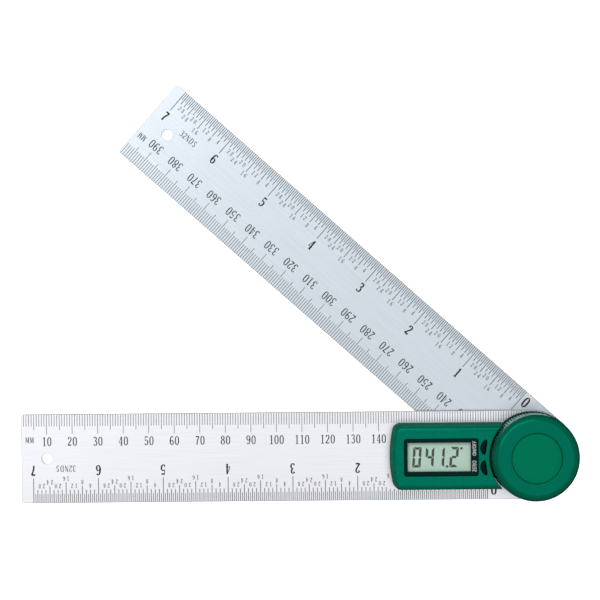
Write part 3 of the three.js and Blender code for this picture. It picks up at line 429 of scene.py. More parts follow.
class Skin:
    """One closed surface in millimetres, gathered ring by ring."""

    def __init__(self) -> None:
        """Starts with no points and no faces."""
        self.points: list[Array] = []
        self.faces: list[list[int]] = []
        self.flat: list[int] = []
        self.coats: dict[int, int] = {}
        self.count = 0

    def put(self, points: Array) -> Array:
        """Adds points, whose last axis is x, y, z.

        Args:
            points: an array of any shape that ends in 3.

        Returns:
            The points' numbers, in the same shape without its last axis.
        """
        shape = points.shape[:-1]
        flat = points.reshape(-1, 3)
        self.points.append(flat)
        numbers = np.arange(self.count, self.count + len(flat)).reshape(shape)
        self.count += len(flat)
        return numbers

    def ring(self, plan: Array, height: float | Array) -> Array:
        """Adds a loop at a height and returns its points' numbers."""
        heights = np.broadcast_to(height, len(plan))
        return self.put(np.column_stack([plan, heights]))

    def wall(self, rings: list[Array] | Array, joined: bool = False, coat: int = 0) -> None:
        """Adds the quads between each ring and the next.

        Args:
            rings: the rings, of one count, each a closed loop.
            joined: whether the last ring meets the first.
            coat: which of the piece's finishes they take, 0 for the first.
        """
        first = len(self.faces)
        grid = np.stack(rings)
        here = grid if joined else grid[:-1]
        there = np.roll(grid, -1, 0) if joined else grid[1:]
        quads = np.stack([here, np.roll(here, -1, 1), np.roll(there, -1, 1), there], axis=-1)
        self.faces += quads.reshape(-1, 4).tolist()
        if coat:
            self.coats.update(dict.fromkeys(range(first, len(self.faces)), coat))

    def fan(self, ring: Array, apex: tuple[float, float, float]) -> None:
        """Closes a ring with triangles that meet in one point."""
        tip = int(self.put(np.array([apex], float))[0])
        after = np.roll(ring, -1)
        self.faces += [[int(a), int(b), tip] for a, b in zip(ring, after)]

    def cap(self, loops: list[Array]) -> None:
        """Closes an area between loops that lie at one height with triangles, which are shaded flat.

        Args:
            loops: the numbers of the outer loop's points, then of each hole's.
        """
        every = np.concatenate(self.points)
        plans = [every[loop][:, :2] for loop in loops]
        flat = np.concatenate(plans)
        numbers = np.concatenate(loops)
        edges = []
        start = 0
        for loop in loops:
            edges += [(start + k, start + (k + 1) % len(loop)) for k in range(len(loop))]
            start += len(loop)
        _, _, faces, origin, _, _ = delaunay_2d_cdt([tuple(p) for p in flat.tolist()], edges, [], 0,
                                                 SAME_POINT)
        found = np.array([[origin[v][0] for v in face] for face in faces])
        kept = found[inside(flat[found].mean(axis=1), plans)]
        self.flat += range(len(self.faces), len(self.faces) + len(kept))
        self.faces += numbers[kept].tolist()

    def rings_of(self, profile: Array, steps: int, centre: Point = (0.0, 0.0), joined: bool = False,
                 wave: Array | float = 0.0) -> Array:
        """Turns a profile about an upright axis: a point is the centre plus the profile's radius, less the
        wave, at the turn's angle, at the profile's height.

        Args:
            profile: radius and height of each ring.
            steps: points in a ring.
            centre: where the axis stands in plan.
            joined: whether the last ring meets the first.
            wave: what is taken off the radius, a row to a ring and a column to an angle.

        Returns:
            The points' numbers, a row to a ring.
        """
        turn = np.linspace(0, 2 * math.pi, steps, endpoint=False)
        radius = np.broadcast_to(profile[:, 0, None] - wave, (len(profile), steps))
        grid = self.put(np.stack([
            centre[0] + radius * np.cos(turn), centre[1] + radius * np.sin(turn),
            np.broadcast_to(profile[:, 1, None], radius.shape)], axis=-1))
        self.wall(grid, joined=joined)
        return grid

    def lathe(self, profile: list[Point] | Array, steps: int, centre: Point = (0.0, 0.0)) -> None:
        """A profile of radius and height, turned about an upright axis. Where it starts or ends on the axis,
        it closes in one point.

        Args:
            profile: radius and height of each ring, from one end to the other.
            steps: points in a ring.
            centre: where the axis stands in plan.
        """
        profile = np.array(profile, float)
        on_axis = profile[:, 0] < 1e-9
        closed = not on_axis[0] and not on_axis[-1]
        grid = self.rings_of(profile[~on_axis], steps, centre, joined=closed)
        if on_axis[0]:
            self.fan(grid[0], (*centre, profile[0, 1]))
        if on_axis[-1]:
            self.fan(grid[-1], (*centre, profile[-1, 1]))

    def plate(self, sides: list[tuple[Array, list[Point]]], coats: tuple[int, ...] = ()) -> None:
        """A flat plate with holes.

        Each side is a loop carried up through its own heights and insets; the lowest and the highest rings
        are joined by flat faces.

        Args:
            sides: for the outline and then for each hole, the loop and the height and inset of its rings.
                The outline runs anticlockwise and a hole clockwise, so that the metal is on the left.
            coats: which of the piece's finishes each side takes; sides past its end take the first.
        """
        bottoms, tops = [], []
        for number, (loop, levels) in enumerate(sides):
            rings = [self.ring(inset(loop, into) if into else loop, z) for z, into in levels]
            self.wall(rings, coat=coats[number] if number < len(coats) else 0)
            bottoms.append(rings[0])
            tops.append(rings[-1])
        self.cap(bottoms)
        self.cap(tops)

    def prism(self, loop: Array, bottom: float, top: float) -> None:
        """A plan carried straight up, with sharp edges."""
        self.plate([(loop, [(bottom, 0), (top, 0)])])

    def ribbon(self, path: Array, widths: Array, bottom: float, top: float, closed: bool) -> None:
        """A flat strip along a path: at each point, four corners half a width to the left and right of it.

        Args:
            path: the strip's middle line in plan.
            widths: its width at each point.
            bottom: its underside's height.
            top: its top's height.
            closed: whether the path runs back to its start.
        """
        along = directions(path, closed)
        along /= np.linalg.norm(along, axis=1, keepdims=True)
        left = np.column_stack([-along[:, 1], along[:, 0]]) * widths[:, None] / 2
        corners = [(left, top), (-left, top), (-left, bottom), (left, bottom)]
        lines = [np.column_stack([path + out, np.full(len(path), z)]) for out, z in corners]
        grid = self.put(np.stack(lines, axis=1))
        self.wall(grid, joined=closed)
        if not closed:
            self.faces += [grid[0].tolist(), grid[-1].tolist()]

    def boxes(self, lows: Array, highs: Array) -> None:
        """Many upright boxes at once, each from its lowest to its highest corner."""
        pick = np.array([[i, j, k] for k in (0, 1) for i, j in ((0, 0), (1, 0), (1, 1), (0, 1))])
        corners = np.where(pick[None] == 1, highs[:, None], lows[:, None])
        grid = self.put(corners)
        sides = [[0, 3, 2, 1], [4, 5, 6, 7], [0, 1, 5, 4], [1, 2, 6, 5], [2, 3, 7, 6], [3, 0, 4, 7]]
        self.faces += grid[:, sides].reshape(-1, 4).tolist()

    def turn(self, degrees: float) -> None:
        """Turns all that was gathered about the Z axis."""
        self.points = [turned(part, degrees) for part in self.points]

    def piece(self, name: str, finish: Finish, body: str, replaces: tuple[str, ...] = (),
              sharp_deg: float = 32.0, coats: tuple[Finish, ...] = ()) -> bpy.types.Object:
        """Turns the surface into a piece of the model.

        Args:
            name: the piece's name.
            finish: what it is made of.
            body: the CAD body that it moves with.
            replaces: CAD nodes that it stands for.
            sharp_deg: an edge that turns by more than this is shaded as a corner.
            coats: the finishes of the faces that were given a coat, from the first coat on.

        Returns:
            The new object, with its place in its mesh.
        """
        mesh = bpy.data.meshes.new(name)
        mesh.from_pydata((np.concatenate(self.points) * MM).tolist(), [], self.faces)
        gathered = bmesh.new()
        gathered.from_mesh(mesh)
        bmesh.ops.recalc_face_normals(gathered, faces=gathered.faces)
        gathered.to_mesh(mesh)
        gathered.free()
        mesh.set_sharp_from_angle(angle=math.radians(sharp_deg))
        smooth = np.ones(len(mesh.polygons), bool)
        smooth[self.flat] = False
        mesh.polygons.foreach_set("use_smooth", smooth)
        mesh.materials.append(finish.material())
        for other in coats:
            mesh.materials.append(other.material())
        for index, coat in self.coats.items():
            mesh.polygons[index].material_index = coat
        made = bpy.data.objects.new(name, mesh)
        bpy.context.scene.collection.objects.link(made)
        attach(made, body)
        if replaces:
            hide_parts(*replaces)
        LOG.info("%s: %d faces on %s", name, len(mesh.polygons), body)
        return made


# Lettering, drawn as pen strokes

class Pen(Enum):
    """How wide a stroke is."""

    HAIR = "hair"
    STEM = "stem"
    CURVE = "curve"
    LOOP = "loop"


# Each sign is its width and its strokes, in shares of the sign's height.
# A straight stroke is a hairline or a stem; a curve or a loop swells where it runs upright.
ENGRAVED_SIGNS = {
    "0": (0.47, [(Pen.LOOP, [(0.235, 0.97), (0.09, 0.82), (0.06, 0.5), (0.09, 0.18), (0.235, 0.03),
                             (0.38, 0.18), (0.41, 0.5), (0.38, 0.82)])]),
    "1": (0.47, [(Pen.STEM, [(0.26, 0.0), (0.26, 1.0)]), (Pen.HAIR, [(0.1, 0.02), (0.42, 0.02)]),
                 (Pen.HAIR, [(0.1, 0.84), (0.26, 0.97)])]),
    "2": (0.47, [(Pen.CURVE, [(0.09, 0.74), (0.13, 0.92), (0.25, 0.97), (0.38, 0.86), (0.37, 0.64),
                              (0.24, 0.4), (0.1, 0.18), (0.06, 0.04)]),
                 (Pen.STEM, [(0.08, 0.08), (0.42, 0.08)])]),
    "3": (0.47, [(Pen.CURVE, [(0.09, 0.82), (0.16, 0.96), (0.3, 0.95), (0.37, 0.76), (0.3, 0.58),
                              (0.18, 0.53)]),
                 (Pen.CURVE, [(0.18, 0.53), (0.33, 0.48), (0.41, 0.28), (0.34, 0.07), (0.19, 0.02),
                              (0.08, 0.18)])]),
    "4": (0.47, [(Pen.STEM, [(0.32, 0.0), (0.32, 1.0)]), (Pen.HAIR, [(0.3, 0.97), (0.04, 0.3)]),
                 (Pen.HAIR, [(0.03, 0.28), (0.46, 0.28)]), (Pen.HAIR, [(0.18, 0.02), (0.46, 0.02)])]),
    "5": (0.47, [(Pen.STEM, [(0.1, 0.93), (0.41, 0.93)]), (Pen.HAIR, [(0.11, 0.97), (0.1, 0.52)]),
                 (Pen.CURVE, [(0.1, 0.5), (0.24, 0.6), (0.38, 0.48), (0.4, 0.26), (0.31, 0.06), (0.16, 0.03),
                              (0.08, 0.2)])]),
    "6": (0.47, [(Pen.CURVE, [(0.38, 0.84), (0.28, 0.97), (0.14, 0.86), (0.07, 0.55), (0.08, 0.22),
                              (0.22, 0.03), (0.37, 0.13), (0.4, 0.33), (0.3, 0.54), (0.14, 0.5),
                              (0.08, 0.36)])]),
    "7": (0.47, [(Pen.STEM, [(0.06, 0.92), (0.42, 0.92)]),
                 (Pen.CURVE, [(0.42, 0.93), (0.33, 0.68), (0.23, 0.38), (0.2, 0.0)])]),
    "8": (0.47, [(Pen.LOOP, [(0.235, 0.97), (0.11, 0.87), (0.11, 0.66), (0.235, 0.53), (0.36, 0.66),
                             (0.36, 0.87)]),
                 (Pen.LOOP, [(0.235, 0.53), (0.08, 0.4), (0.08, 0.14), (0.235, 0.03), (0.39, 0.14),
                             (0.39, 0.4)])]),
    "9": (0.47, [(Pen.CURVE, [(0.09, 0.16), (0.19, 0.03), (0.33, 0.14), (0.4, 0.45), (0.39, 0.78),
                              (0.25, 0.97), (0.1, 0.87), (0.07, 0.67), (0.17, 0.46), (0.33, 0.5),
                              (0.39, 0.64)])]),
    "M": (0.62, [(Pen.HAIR, [(0.07, 0.0), (0.07, 1.0)]), (Pen.STEM, [(0.1, 1.0), (0.3, 0.1)]),
                 (Pen.HAIR, [(0.3, 0.06), (0.5, 1.0)]), (Pen.STEM, [(0.52, 0.0), (0.52, 1.0)])]),
    "N": (0.6, [(Pen.HAIR, [(0.08, 0.0), (0.08, 1.0)]), (Pen.STEM, [(0.1, 1.0), (0.46, 0.02)]),
                (Pen.HAIR, [(0.48, 0.0), (0.48, 1.0)])]),
    "D": (0.6, [(Pen.STEM, [(0.1, 0.0), (0.1, 1.0)]),
                (Pen.CURVE, [(0.08, 0.97), (0.3, 0.96), (0.46, 0.78), (0.48, 0.5), (0.46, 0.22), (0.3, 0.04),
                             (0.08, 0.03)])]),
    "S": (0.5, [(Pen.CURVE, [(0.4, 0.8), (0.27, 0.97), (0.11, 0.86), (0.13, 0.64), (0.35, 0.4), (0.38, 0.15),
                             (0.23, 0.02), (0.07, 0.18)])]),
}
# Plain capitals of one stroke width, for the words beside the keys.
PLAIN_SIGNS = {
    "O": (0.78, [(Pen.LOOP, [(0.39, 0.92), (0.16, 0.8), (0.08, 0.5), (0.16, 0.2), (0.39, 0.08), (0.62, 0.2),
                             (0.7, 0.5), (0.62, 0.8)])]),
    "N": (0.74, [(Pen.STEM, [(0.1, 0.0), (0.1, 1.0)]), (Pen.STEM, [(0.12, 0.96), (0.6, 0.04)]),
                 (Pen.STEM, [(0.62, 0.0), (0.62, 1.0)])]),
    "/": (0.4, [(Pen.STEM, [(0.05, -0.02), (0.35, 1.02)])]),
    "F": (0.58, [(Pen.STEM, [(0.1, 0.0), (0.1, 1.0)]), (Pen.STEM, [(0.1, 0.92), (0.52, 0.92)]),
                 (Pen.STEM, [(0.1, 0.5), (0.46, 0.5)])]),
    "Z": (0.66, [(Pen.STEM, [(0.06, 0.92), (0.58, 0.92)]), (Pen.STEM, [(0.55, 0.9), (0.09, 0.1)]),
                 (Pen.STEM, [(0.06, 0.08), (0.6, 0.08)])]),
    "E": (0.62, [(Pen.STEM, [(0.1, 0.0), (0.1, 1.0)]), (Pen.STEM, [(0.1, 0.92), (0.54, 0.92)]),
                 (Pen.STEM, [(0.1, 0.5), (0.49, 0.5)]), (Pen.STEM, [(0.1, 0.08), (0.55, 0.08)])]),
    "R": (0.68, [(Pen.STEM, [(0.1, 0.0), (0.1, 1.0)]),
                 (Pen.CURVE, [(0.1, 0.92), (0.42, 0.91), (0.55, 0.73), (0.42, 0.54), (0.1, 0.52)]),
                 (Pen.STEM, [(0.32, 0.52), (0.6, 0.0)])]),
}


@dataclass(frozen=True)
class Hand:
    """A style of lettering: its signs, and the widths of its strokes as shares of their height."""

    signs: dict
    thick: float
    thin: float
    spacing: float
    curve_steps: int

    def width(self, text: str) -> float:
        """Length of a line of text, as a share of its height."""
        return sum(self.signs[c][0] for c in text) + self.spacing * (len(text) - 1)

    def write(self, skin: Skin, text: str, centre: Point, right: Point, height: float,
              levels: Point) -> None:
        """Draws a line of text, centred on a place.

        Each stroke is a strip along its path. A curved stroke's width is the thin one plus the rest of the
        thick one times the share of its direction that is upright.

        Args:
            skin: the surface that gathers the strokes.
            text: what to write.
            centre: the middle of the text.
            right: the direction in which it reads.
            height: the signs' height.
            levels: height of the strokes' underside and top.
        """
        across = np.array(right, float)
        up = np.array([-across[1], across[0]])
        at = -self.width(text) / 2
        for sign in text:
            advance, strokes = self.signs[sign]
            for pen, places in strokes:
                path = np.array(places)
                closed = pen is Pen.LOOP
                if pen in (Pen.CURVE, Pen.LOOP):
                    path = smooth_curve(path, self.curve_steps, closed)
                    step = directions(path, closed)
                    upright = np.abs(step[:, 1]) / np.linalg.norm(step, axis=1)
                    widths = self.thin + (self.thick - self.thin) * upright ** 1.5
                else:
                    widths = np.full(len(path), self.thick if pen is Pen.STEM else self.thin)
                shared = path + [at, -0.5]
                placed = np.array(centre) + height * (shared[:, :1] * across + shared[:, 1:] * up)
                skin.ribbon(placed, widths * height, *levels, closed)
            at += advance + self.spacing


ENGRAVED = Hand(ENGRAVED_SIGNS, thick=0.13, thin=0.06, spacing=0.11, curve_steps=3)
ENGRAVED_BOLD = Hand(ENGRAVED_SIGNS, thick=0.165, thin=0.07, spacing=0.1, curve_steps=4)
ENGRAVED_SMALL = Hand(ENGRAVED_SIGNS, thick=0.17, thin=0.1, spacing=0.42, curve_steps=1)
PLAIN = Hand(PLAIN_SIGNS, thick=0.15, thin=0.15, spacing=0.04, curve_steps=3)


# Sub-assemblies

@dataclass
class SteelRule:
    """One graduated steel rule, drawn along -X from the pivot and then turned open."""

    node: str
    body: str
    finish: Finish
    turn_deg: float
    metric_side: int
    first_numeral: int
    holes: list[tuple[Array, list[Point]]]
    hidden_by_case: bool
    length: float = 200.0
    half_width: float = 17.4
    corner_radius: float = 0.8
    edge_radius: float = 0.2
    hang_hole_radius: float = 2.05
    hang_hole_from_end: float = 10.0
    metric_width: float = 0.22
    inch_width: float = 0.24
    long_inch_width: float = 0.29
    line_rise: float = 0.015
    metric_lines: tuple[float, float, float] = (4.85, 6.32, 7.93)
    inch_lines: tuple[float, ...] = (3.42, 5.04, 5.04, 6.54, 8.03, 9.55)
    print_shift: float = 0.15
    shortest_line: float = 0.05
    inch_zero: float = 17.5
    inch: float = 25.4
    inches: int = 7
    # Depth from its edge of the middle of each kind of figure, and its height.
    ten_figures: Point = (10.8, 3.5)
    metric_word: Point = (10.2, 2.4)
    metric_word_from_end: float = 3.3
    parts_word: Point = (13.3, 2.5)
    parts_word_inches: float = 6.5
    zero_figure: Point = (3.8, 4.4)
    zero_figure_back: float = 2.5
    whole_figures: Point = (12.6, 4.0)
    part_height: float = 1.8
    part_depths: tuple[tuple[int, float], ...] = ((4, 6.5), (8, 8.0), (12, 6.5), (16, 9.4), (20, 6.5),
                                                  (24, 8.0), (28, 6.5))
    # The rule's print ends at the case and at the round foot.
    case_half_width: float = 12.95
    case_from: float = 55.95
    case_to: float = 11.9
    plinth_radius: float = 17.2

    def __post_init__(self) -> None:
        """Takes the plate's levels from the CAD node."""
        self.bottom = low(self.node, 2)
        self.top = high(self.node, 2)

    def build(self) -> None:
        """Makes the plate and what is etched on it."""
        self.plate()
        self.graduations()
        self.numerals()

    def plate(self) -> None:
        """The sheet: half round about the pivot, square at its free end, with finely rounded edges."""
        end = -self.length + self.corner_radius
        side = self.half_width - self.corner_radius
        outline = np.concatenate([
            arc((0, 0), self.half_width, -90, 90, 96),
            arc((end, side), self.corner_radius, 90, 180, 8),
            arc((end, -side), self.corner_radius, 180, 270, 8)])
        edges = edge_rings(self.bottom, self.top, self.edge_radius)
        hang = circle(self.hang_hole_radius, 48, (-self.length + self.hang_hole_from_end, 0))[::-1]
        skin = Skin()
        skin.plate([(outline, edges), (hang, edges), *self.holes], (1, 2))
        skin.turn(self.turn_deg)
        skin.piece(f"{self.node}_sheet", self.finish, self.body, (self.node,),
                   coats=(SHEARED_EDGE, PUNCHED_BORE_PAINTED_LIGHT))

    def levels(self) -> Point:
        """Underside and top of an etched line, which stands proud by a hair so that it shows."""
        return self.top - self.line_rise / 2, self.top + self.line_rise

    def lines(self, skin: Skin, places: Array, lengths: Array, widths: Array, side: int) -> None:
        """Adds the lines of one scale.

        A line runs from the rule's edge inwards by its length, and ends early where the case or the knob's
        foot covers it.

        Args:
            skin: the surface that gathers them.
            places: distance of each line from the pivot axis along the rule.
            lengths: how far each line reaches in from the edge.
            widths: the width of each line.
            side: 1 for the +Y edge of the rule as drawn, -1 for the other.
        """
        outer = self.half_width - self.edge_radius
        inner = self.half_width - lengths + side * self.print_shift
        if self.hidden_by_case:
            covered = (places < self.case_from) & (places > self.case_to)
            inner = np.where(covered, np.maximum(inner, self.case_half_width), inner)
            beside = np.sqrt(np.maximum(self.plinth_radius ** 2 - places ** 2, 0))
            inner = np.maximum(inner, beside)
        kept = inner < outer - self.shortest_line
        places, inner, widths = places[kept], inner[kept], widths[kept]
        near, far = (inner, np.full(len(inner), outer))
        if side < 0:
            near, far = -far, -near
        bottom, top = self.levels()
        lows = np.column_stack([-places - widths / 2, near, np.full(len(near), bottom)])
        highs = np.column_stack([-places + widths / 2, far, np.full(len(near), top)])
        skin.boxes(lows, highs)

    def graduations(self) -> None:
        """The millimetre lines on one edge and the inch lines in thirty-seconds on the other."""
        skin = Skin()
        mm = np.arange(1, int(self.length))
        rank = (mm % 5 == 0).astype(int) + (mm % 10 == 0)
        widths = np.full(len(mm), self.metric_width)
        self.lines(skin, mm.astype(float), np.array(self.metric_lines)[rank], widths, self.metric_side)
        parts = np.arange(self.inches * 32 + 1)
        rank = sum((parts % 2 ** k == 0).astype(int) for k in range(1, 6))
        widths = np.where(rank > 0, self.long_inch_width, self.inch_width)
        places = self.inch_zero + parts * self.inch / 32
        self.lines(skin, places, np.array(self.inch_lines)[rank], widths, -self.metric_side)
        skin.turn(self.turn_deg)
        skin.piece(f"{self.node}_lines", FINE_INK, self.body)

    def text(self, skin: Skin, hand: Hand, words: str, place: float, size: Point, side: int) -> None:
        """Writes words whose tops point to an edge, at a distance from the pivot.

        Args:
            skin: the surface that gathers the strokes.
            hand: the style of lettering.
            words: what to write.
            place: distance of its middle from the pivot axis along the rule.
            size: its depth from the edge, and its height.
            side: 1 for the +Y edge of the rule as drawn, -1 for the other.
        """
        depth, height = size
        centre = (-place, side * (self.half_width - depth) + self.print_shift)
        hand.write(skin, words, centre, (float(side), 0.0), height, self.levels())

    def numerals(self) -> None:
        """The numbers of both scales and the two words that name their units."""
        tens, bold, faint, words = Skin(), Skin(), Skin(), Skin()
        metric, inches = self.metric_side, -self.metric_side
        covered = self.case_from if self.hidden_by_case else 0.0
        first_shown = max(covered - 2, 18)
        for ten in range(10, int(self.length), 10):
            place = self.length - ten if self.first_numeral == 0 else float(ten)
            if place > first_shown:
                self.text(tens, ENGRAVED, str(self.first_numeral + ten), place, self.ten_figures, metric)
        self.text(words, ENGRAVED, "MM", self.length - self.metric_word_from_end, self.metric_word, metric)
        place = self.inch_zero + self.parts_word_inches * self.inch
        self.text(words, ENGRAVED, "32NDS", place, self.parts_word, inches)
        self.text(bold, ENGRAVED_BOLD, "0", self.inch_zero - self.zero_figure_back, self.zero_figure, inches)
        for whole in range(self.inches):
            for part, depth in self.part_depths:
                place = self.inch_zero + (whole + part / 32) * self.inch
                if place > covered - 1:
                    self.text(faint, ENGRAVED_SMALL, str(part), place, (depth, self.part_height), inches)
            place = self.inch_zero + (whole + 1) * self.inch
            if place > covered:
                self.text(bold, ENGRAVED_BOLD, str(whole + 1), place, self.whole_figures, inches)
        for skin, part, finish in ((tens, "small_figures", FIGURE_INK), (bold, "inch_figures", BOLD_INK),
                                   (faint, "part_figures", FAINT_INK), (words, "scale_words", FINE_INK)):
            skin.turn(self.turn_deg)
            skin.piece(f"{self.node}_{part}", finish, self.body)


@dataclass
class DisplayCase:
    """The green case on the upper rule, with its window, display and keys."""

    reach: float = 55.75
    half_width: float = 12.9
    bow_radius: float = 50.0
    corner_radius: float = 3.2
    arc_radius: float = 17.6
    wall: float = 1.2
    arc_wall: float = 1.0
    roof: float = 1.2
    draft: float = 0.45
    fillet: float = 2.3
    foot_band: float = 0.15
    # How many rings of the side, from the foot up, take the eroded finish.
    eroded_rings: int = 6
    opening_edge: float = 0.12
    arc_edge: float = 0.25
    neck_half_width: float = 9.0
    neck_height: float = 2.6
    end_steps: int = 12
    slot_steps: int = 36
    hole_gap: float = 0.1
    boss_radius: float = 1.9
    pilot_radius: float = 1.0
    pilot_stop: float = 1.0
    boss_lift: float = 1.05
    boss_overlap: float = 0.05
    bosses: tuple[Point, ...] = ((-52.0555, 9.4), (-22.5, 9.4), (-22.5, -9.4), (-52.0555, -9.4))
    frame_width: float = 14.44
    frame_left: float = 1.28
    frame_right: float = 2.85
    frame_side: float = 1.62
    frame_edge: float = 0.22
    frame_rise: float = 0.15
    view_rise: float = 0.3
    view_corner: float = 0.2
    view_edge: float = 0.1
    rebate_height: float = 0.85
    rebate_reach: float = 0.7
    bezel_corner: float = 1.0
    key_left: float = -21.1
    key_width: float = 2.55
    key_inner: float = 1.2
    key_length: float = 5.65
    key_flange: float = 0.35
    key_flange_height: float = 0.5
    key_edge: float = 0.3
    key_edge_deg: float = 70.0
    key_crown: float = 0.16
    key_shares: tuple[Point, ...] = ((0.58, 0), (0.76, 0.1), (0.88, 0.5), (1, 0.88), (0.84, 1), (0.36, 0.84),
                                     (0.02, 0.5), (0.16, 0.16))
    # Each word, its middle across the case, and its height.
    key_words: tuple[tuple[str, float, float], ...] = (("ON/OFF", 3.67, 1.42), ("ZERO", -3.28, 1.54))
    word_shift: float = -0.12
    print_rise: float = 0.02
    glass_edge: float = 0.05
    glass_corner: float = 0.15
    # Each digit's place and its driven segments.
    digits: tuple[tuple[float, str], ...] = ((-45.55, "abcdef"), (-40.6, "bcfg"), (-36.5, "bc"),
                                             (-31.15, "abdeg"))
    digit_width: float = 3.3
    digit_height: float = 7.9
    digit_middle: float = 0.1
    segment_width: float = 1.0
    segment_gap: float = 0.1
    slant: float = 0.07
    # Radius and place of the decimal point and of the degree sign.
    dots: tuple[tuple[float, float, float], ...] = ((0.5, -33.65, -3.62), (0.52, -28.55, 3.35))
    mark_sink: float = 0.01
    mark_rise: float = 0.02

    def __post_init__(self) -> None:
        """Takes the levels and the window's place from the CAD nodes."""
        self.foot = low("case_top", 2)
        self.top = high("case_top", 2)
        self.ceiling = self.top - self.roof
        self.bezel_foot = low("window_bezel", 2)
        self.bezel_top = high("window_bezel", 2)
        self.bezel_right = high("window_bezel", 0)
        self.bezel_length = self.bezel_right - low("window_bezel", 0)
        self.bezel_x = self.bezel_right - self.bezel_length / 2
        self.view_x = self.bezel_x + (self.frame_left - self.frame_right) / 2
        self.view_length = self.bezel_length - self.frame_left - self.frame_right
        self.view_width = self.frame_width - 2 * self.frame_side

    def build(self) -> None:
        """Makes the case and what is in it."""
        self.shell()
        self.bezel()
        self.words()
        self.display()
        for side, node in ((1, "key_on_off"), (-1, "key_zero")):
            self.key(side, node)

    def outline(self, inset_by: float, arc_radius: float) -> Array:
        """The case in plan, inset from its foot.

        Its right end is a hollow arc about the pivot, its long sides are straight, and its left end is a
        shallow bow between two rounded corners. The arc has a double point where the slot for the neck ends.

        Args:
            inset_by: how far the sides, corners and bow move in.
            arc_radius: radius of the hollow end.

        Returns:
            The loop, anticlockwise.
        """
        half = self.half_width - inset_by
        bow_x = -self.reach + self.bow_radius
        corner_y = self.half_width - self.corner_radius
        corner_x = bow_x - math.sqrt((self.bow_radius - self.corner_radius) ** 2 - corner_y ** 2)
        bow_half = math.degrees(math.asin(corner_y / (self.bow_radius - self.corner_radius)))
        arc_half = math.degrees(math.asin(half / arc_radius))
        slot_half = math.degrees(math.asin(self.neck_half_width / arc_radius))
        corner = self.corner_radius - inset_by
        bow = self.bow_radius - inset_by
        return np.concatenate([
            arc((0, 0), arc_radius, 180 + arc_half, 180 + slot_half + DOUBLE_POINT_DEG, self.end_steps),
            arc((0, 0), arc_radius, 180 + slot_half, 180 - slot_half, self.slot_steps),
            arc((0, 0), arc_radius, 180 - slot_half - DOUBLE_POINT_DEG, 180 - arc_half, self.end_steps),
            arc((corner_x, corner_y), corner, 90, 180 - bow_half, 10),
            arc((bow_x, 0), bow, 180 - bow_half, 180 + bow_half, 32)[1:-1],
            arc((corner_x, -corner_y), corner, 180 + bow_half, 270, 10)])

    def drafted(self, height: float) -> float:
        """How far the sides lean in at a height."""
        return self.draft * (height - self.foot) / (self.top - self.foot)

    def key_plan(self, side: int, growth: float) -> Array:
        """A key's outline, grown by a distance; side is 1 for the upper key and -1 for the lower one."""
        shares = np.array(self.key_shares)
        places = np.column_stack([
            self.key_left + self.key_width * shares[:, 0],
            side * (self.key_inner + self.key_length * shares[:, 1])])
        curve = smooth_curve(places, 6, True)
        if side < 0:
            curve = curve[::-1]
        return inset(curve, -growth)

    def shell(self) -> None:
        """The moulded shell: sides that lean in, a rounded shoulder, a flat roof with its openings, the
        hollow inside and four screw bosses."""
        skin = Skin()
        shoulder = self.top - self.fillet
        base = self.drafted(shoulder)
        turn = np.linspace(0, math.pi / 2, 13)
        band = self.foot + self.foot_band
        levels = [(self.foot, 0.0), (band, self.drafted(band))]
        levels += list(zip(shoulder + self.fillet * np.sin(turn), base + self.fillet * (1 - np.cos(turn))))
        neck_top = self.foot + self.neck_height
        slot = slice(self.end_steps + 1, self.end_steps + self.slot_steps + 2)
        rings = []
        for z, into in levels:
            below = max(z - (self.top - self.arc_edge), 0.0)
            arc_into = self.arc_edge - math.sqrt(max(self.arc_edge ** 2 - below ** 2, 0.0))
            plan = self.outline(into, self.arc_radius + arc_into)
            heights = np.full(len(plan), z)
            heights[slot] = np.maximum(heights[slot], neck_top)
            rings.append(skin.ring(plan, heights))
        skin.wall(rings[:self.eroded_rings], coat=1)
        skin.wall(rings[self.eroded_rings - 1:])
        window = rounded_rectangle(
            self.bezel_length + 2 * self.hole_gap, self.frame_width + 2 * self.hole_gap,
            self.bezel_corner + self.hole_gap, (self.bezel_x, self.frame_rise))[::-1]
        openings = [window] + [self.key_plan(side, self.hole_gap)[::-1] for side in (1, -1)]
        edge = self.opening_edge
        tops, bottoms = [], []
        for loop in openings:
            sides = [skin.ring(loop, self.ceiling), skin.ring(loop, self.top - edge)]
            sides += [skin.ring(inset(loop, edge * (1 - math.cos(a))), self.top - edge + edge * math.sin(a))
                      for a in (math.pi / 4, math.pi / 2)]
            skin.wall(sides)
            bottoms.append(sides[0])
            tops.append(sides[-1])
        skin.cap([rings[-1], *tops])
        hollow_radius = self.arc_radius + self.arc_wall
        hollow_top = self.outline(self.wall + self.drafted(self.ceiling), hollow_radius)
        hollow_foot = self.outline(self.wall, hollow_radius)
        heights = np.full(len(hollow_foot), self.foot)
        heights[slot] = neck_top
        inner = [skin.ring(hollow_foot, heights), skin.ring(hollow_top, self.ceiling)]
        skin.wall(inner)
        skin.wall([rings[0], inner[0]])
        skin.cap([inner[1], *bottoms])
        foot, root = self.foot + self.boss_lift, self.ceiling + self.boss_overlap
        stop = root - self.pilot_stop
        for place in self.bosses:
            skin.lathe([(0, stop), (self.pilot_radius, stop), (self.pilot_radius, foot),
                        (self.boss_radius, foot), (self.boss_radius, root), (0, root)], 24, place)
        skin.piece("display_case_shell", GREEN_ABS, UPPER_ARM, ("case_top",), coats=(GREEN_SIDE,))

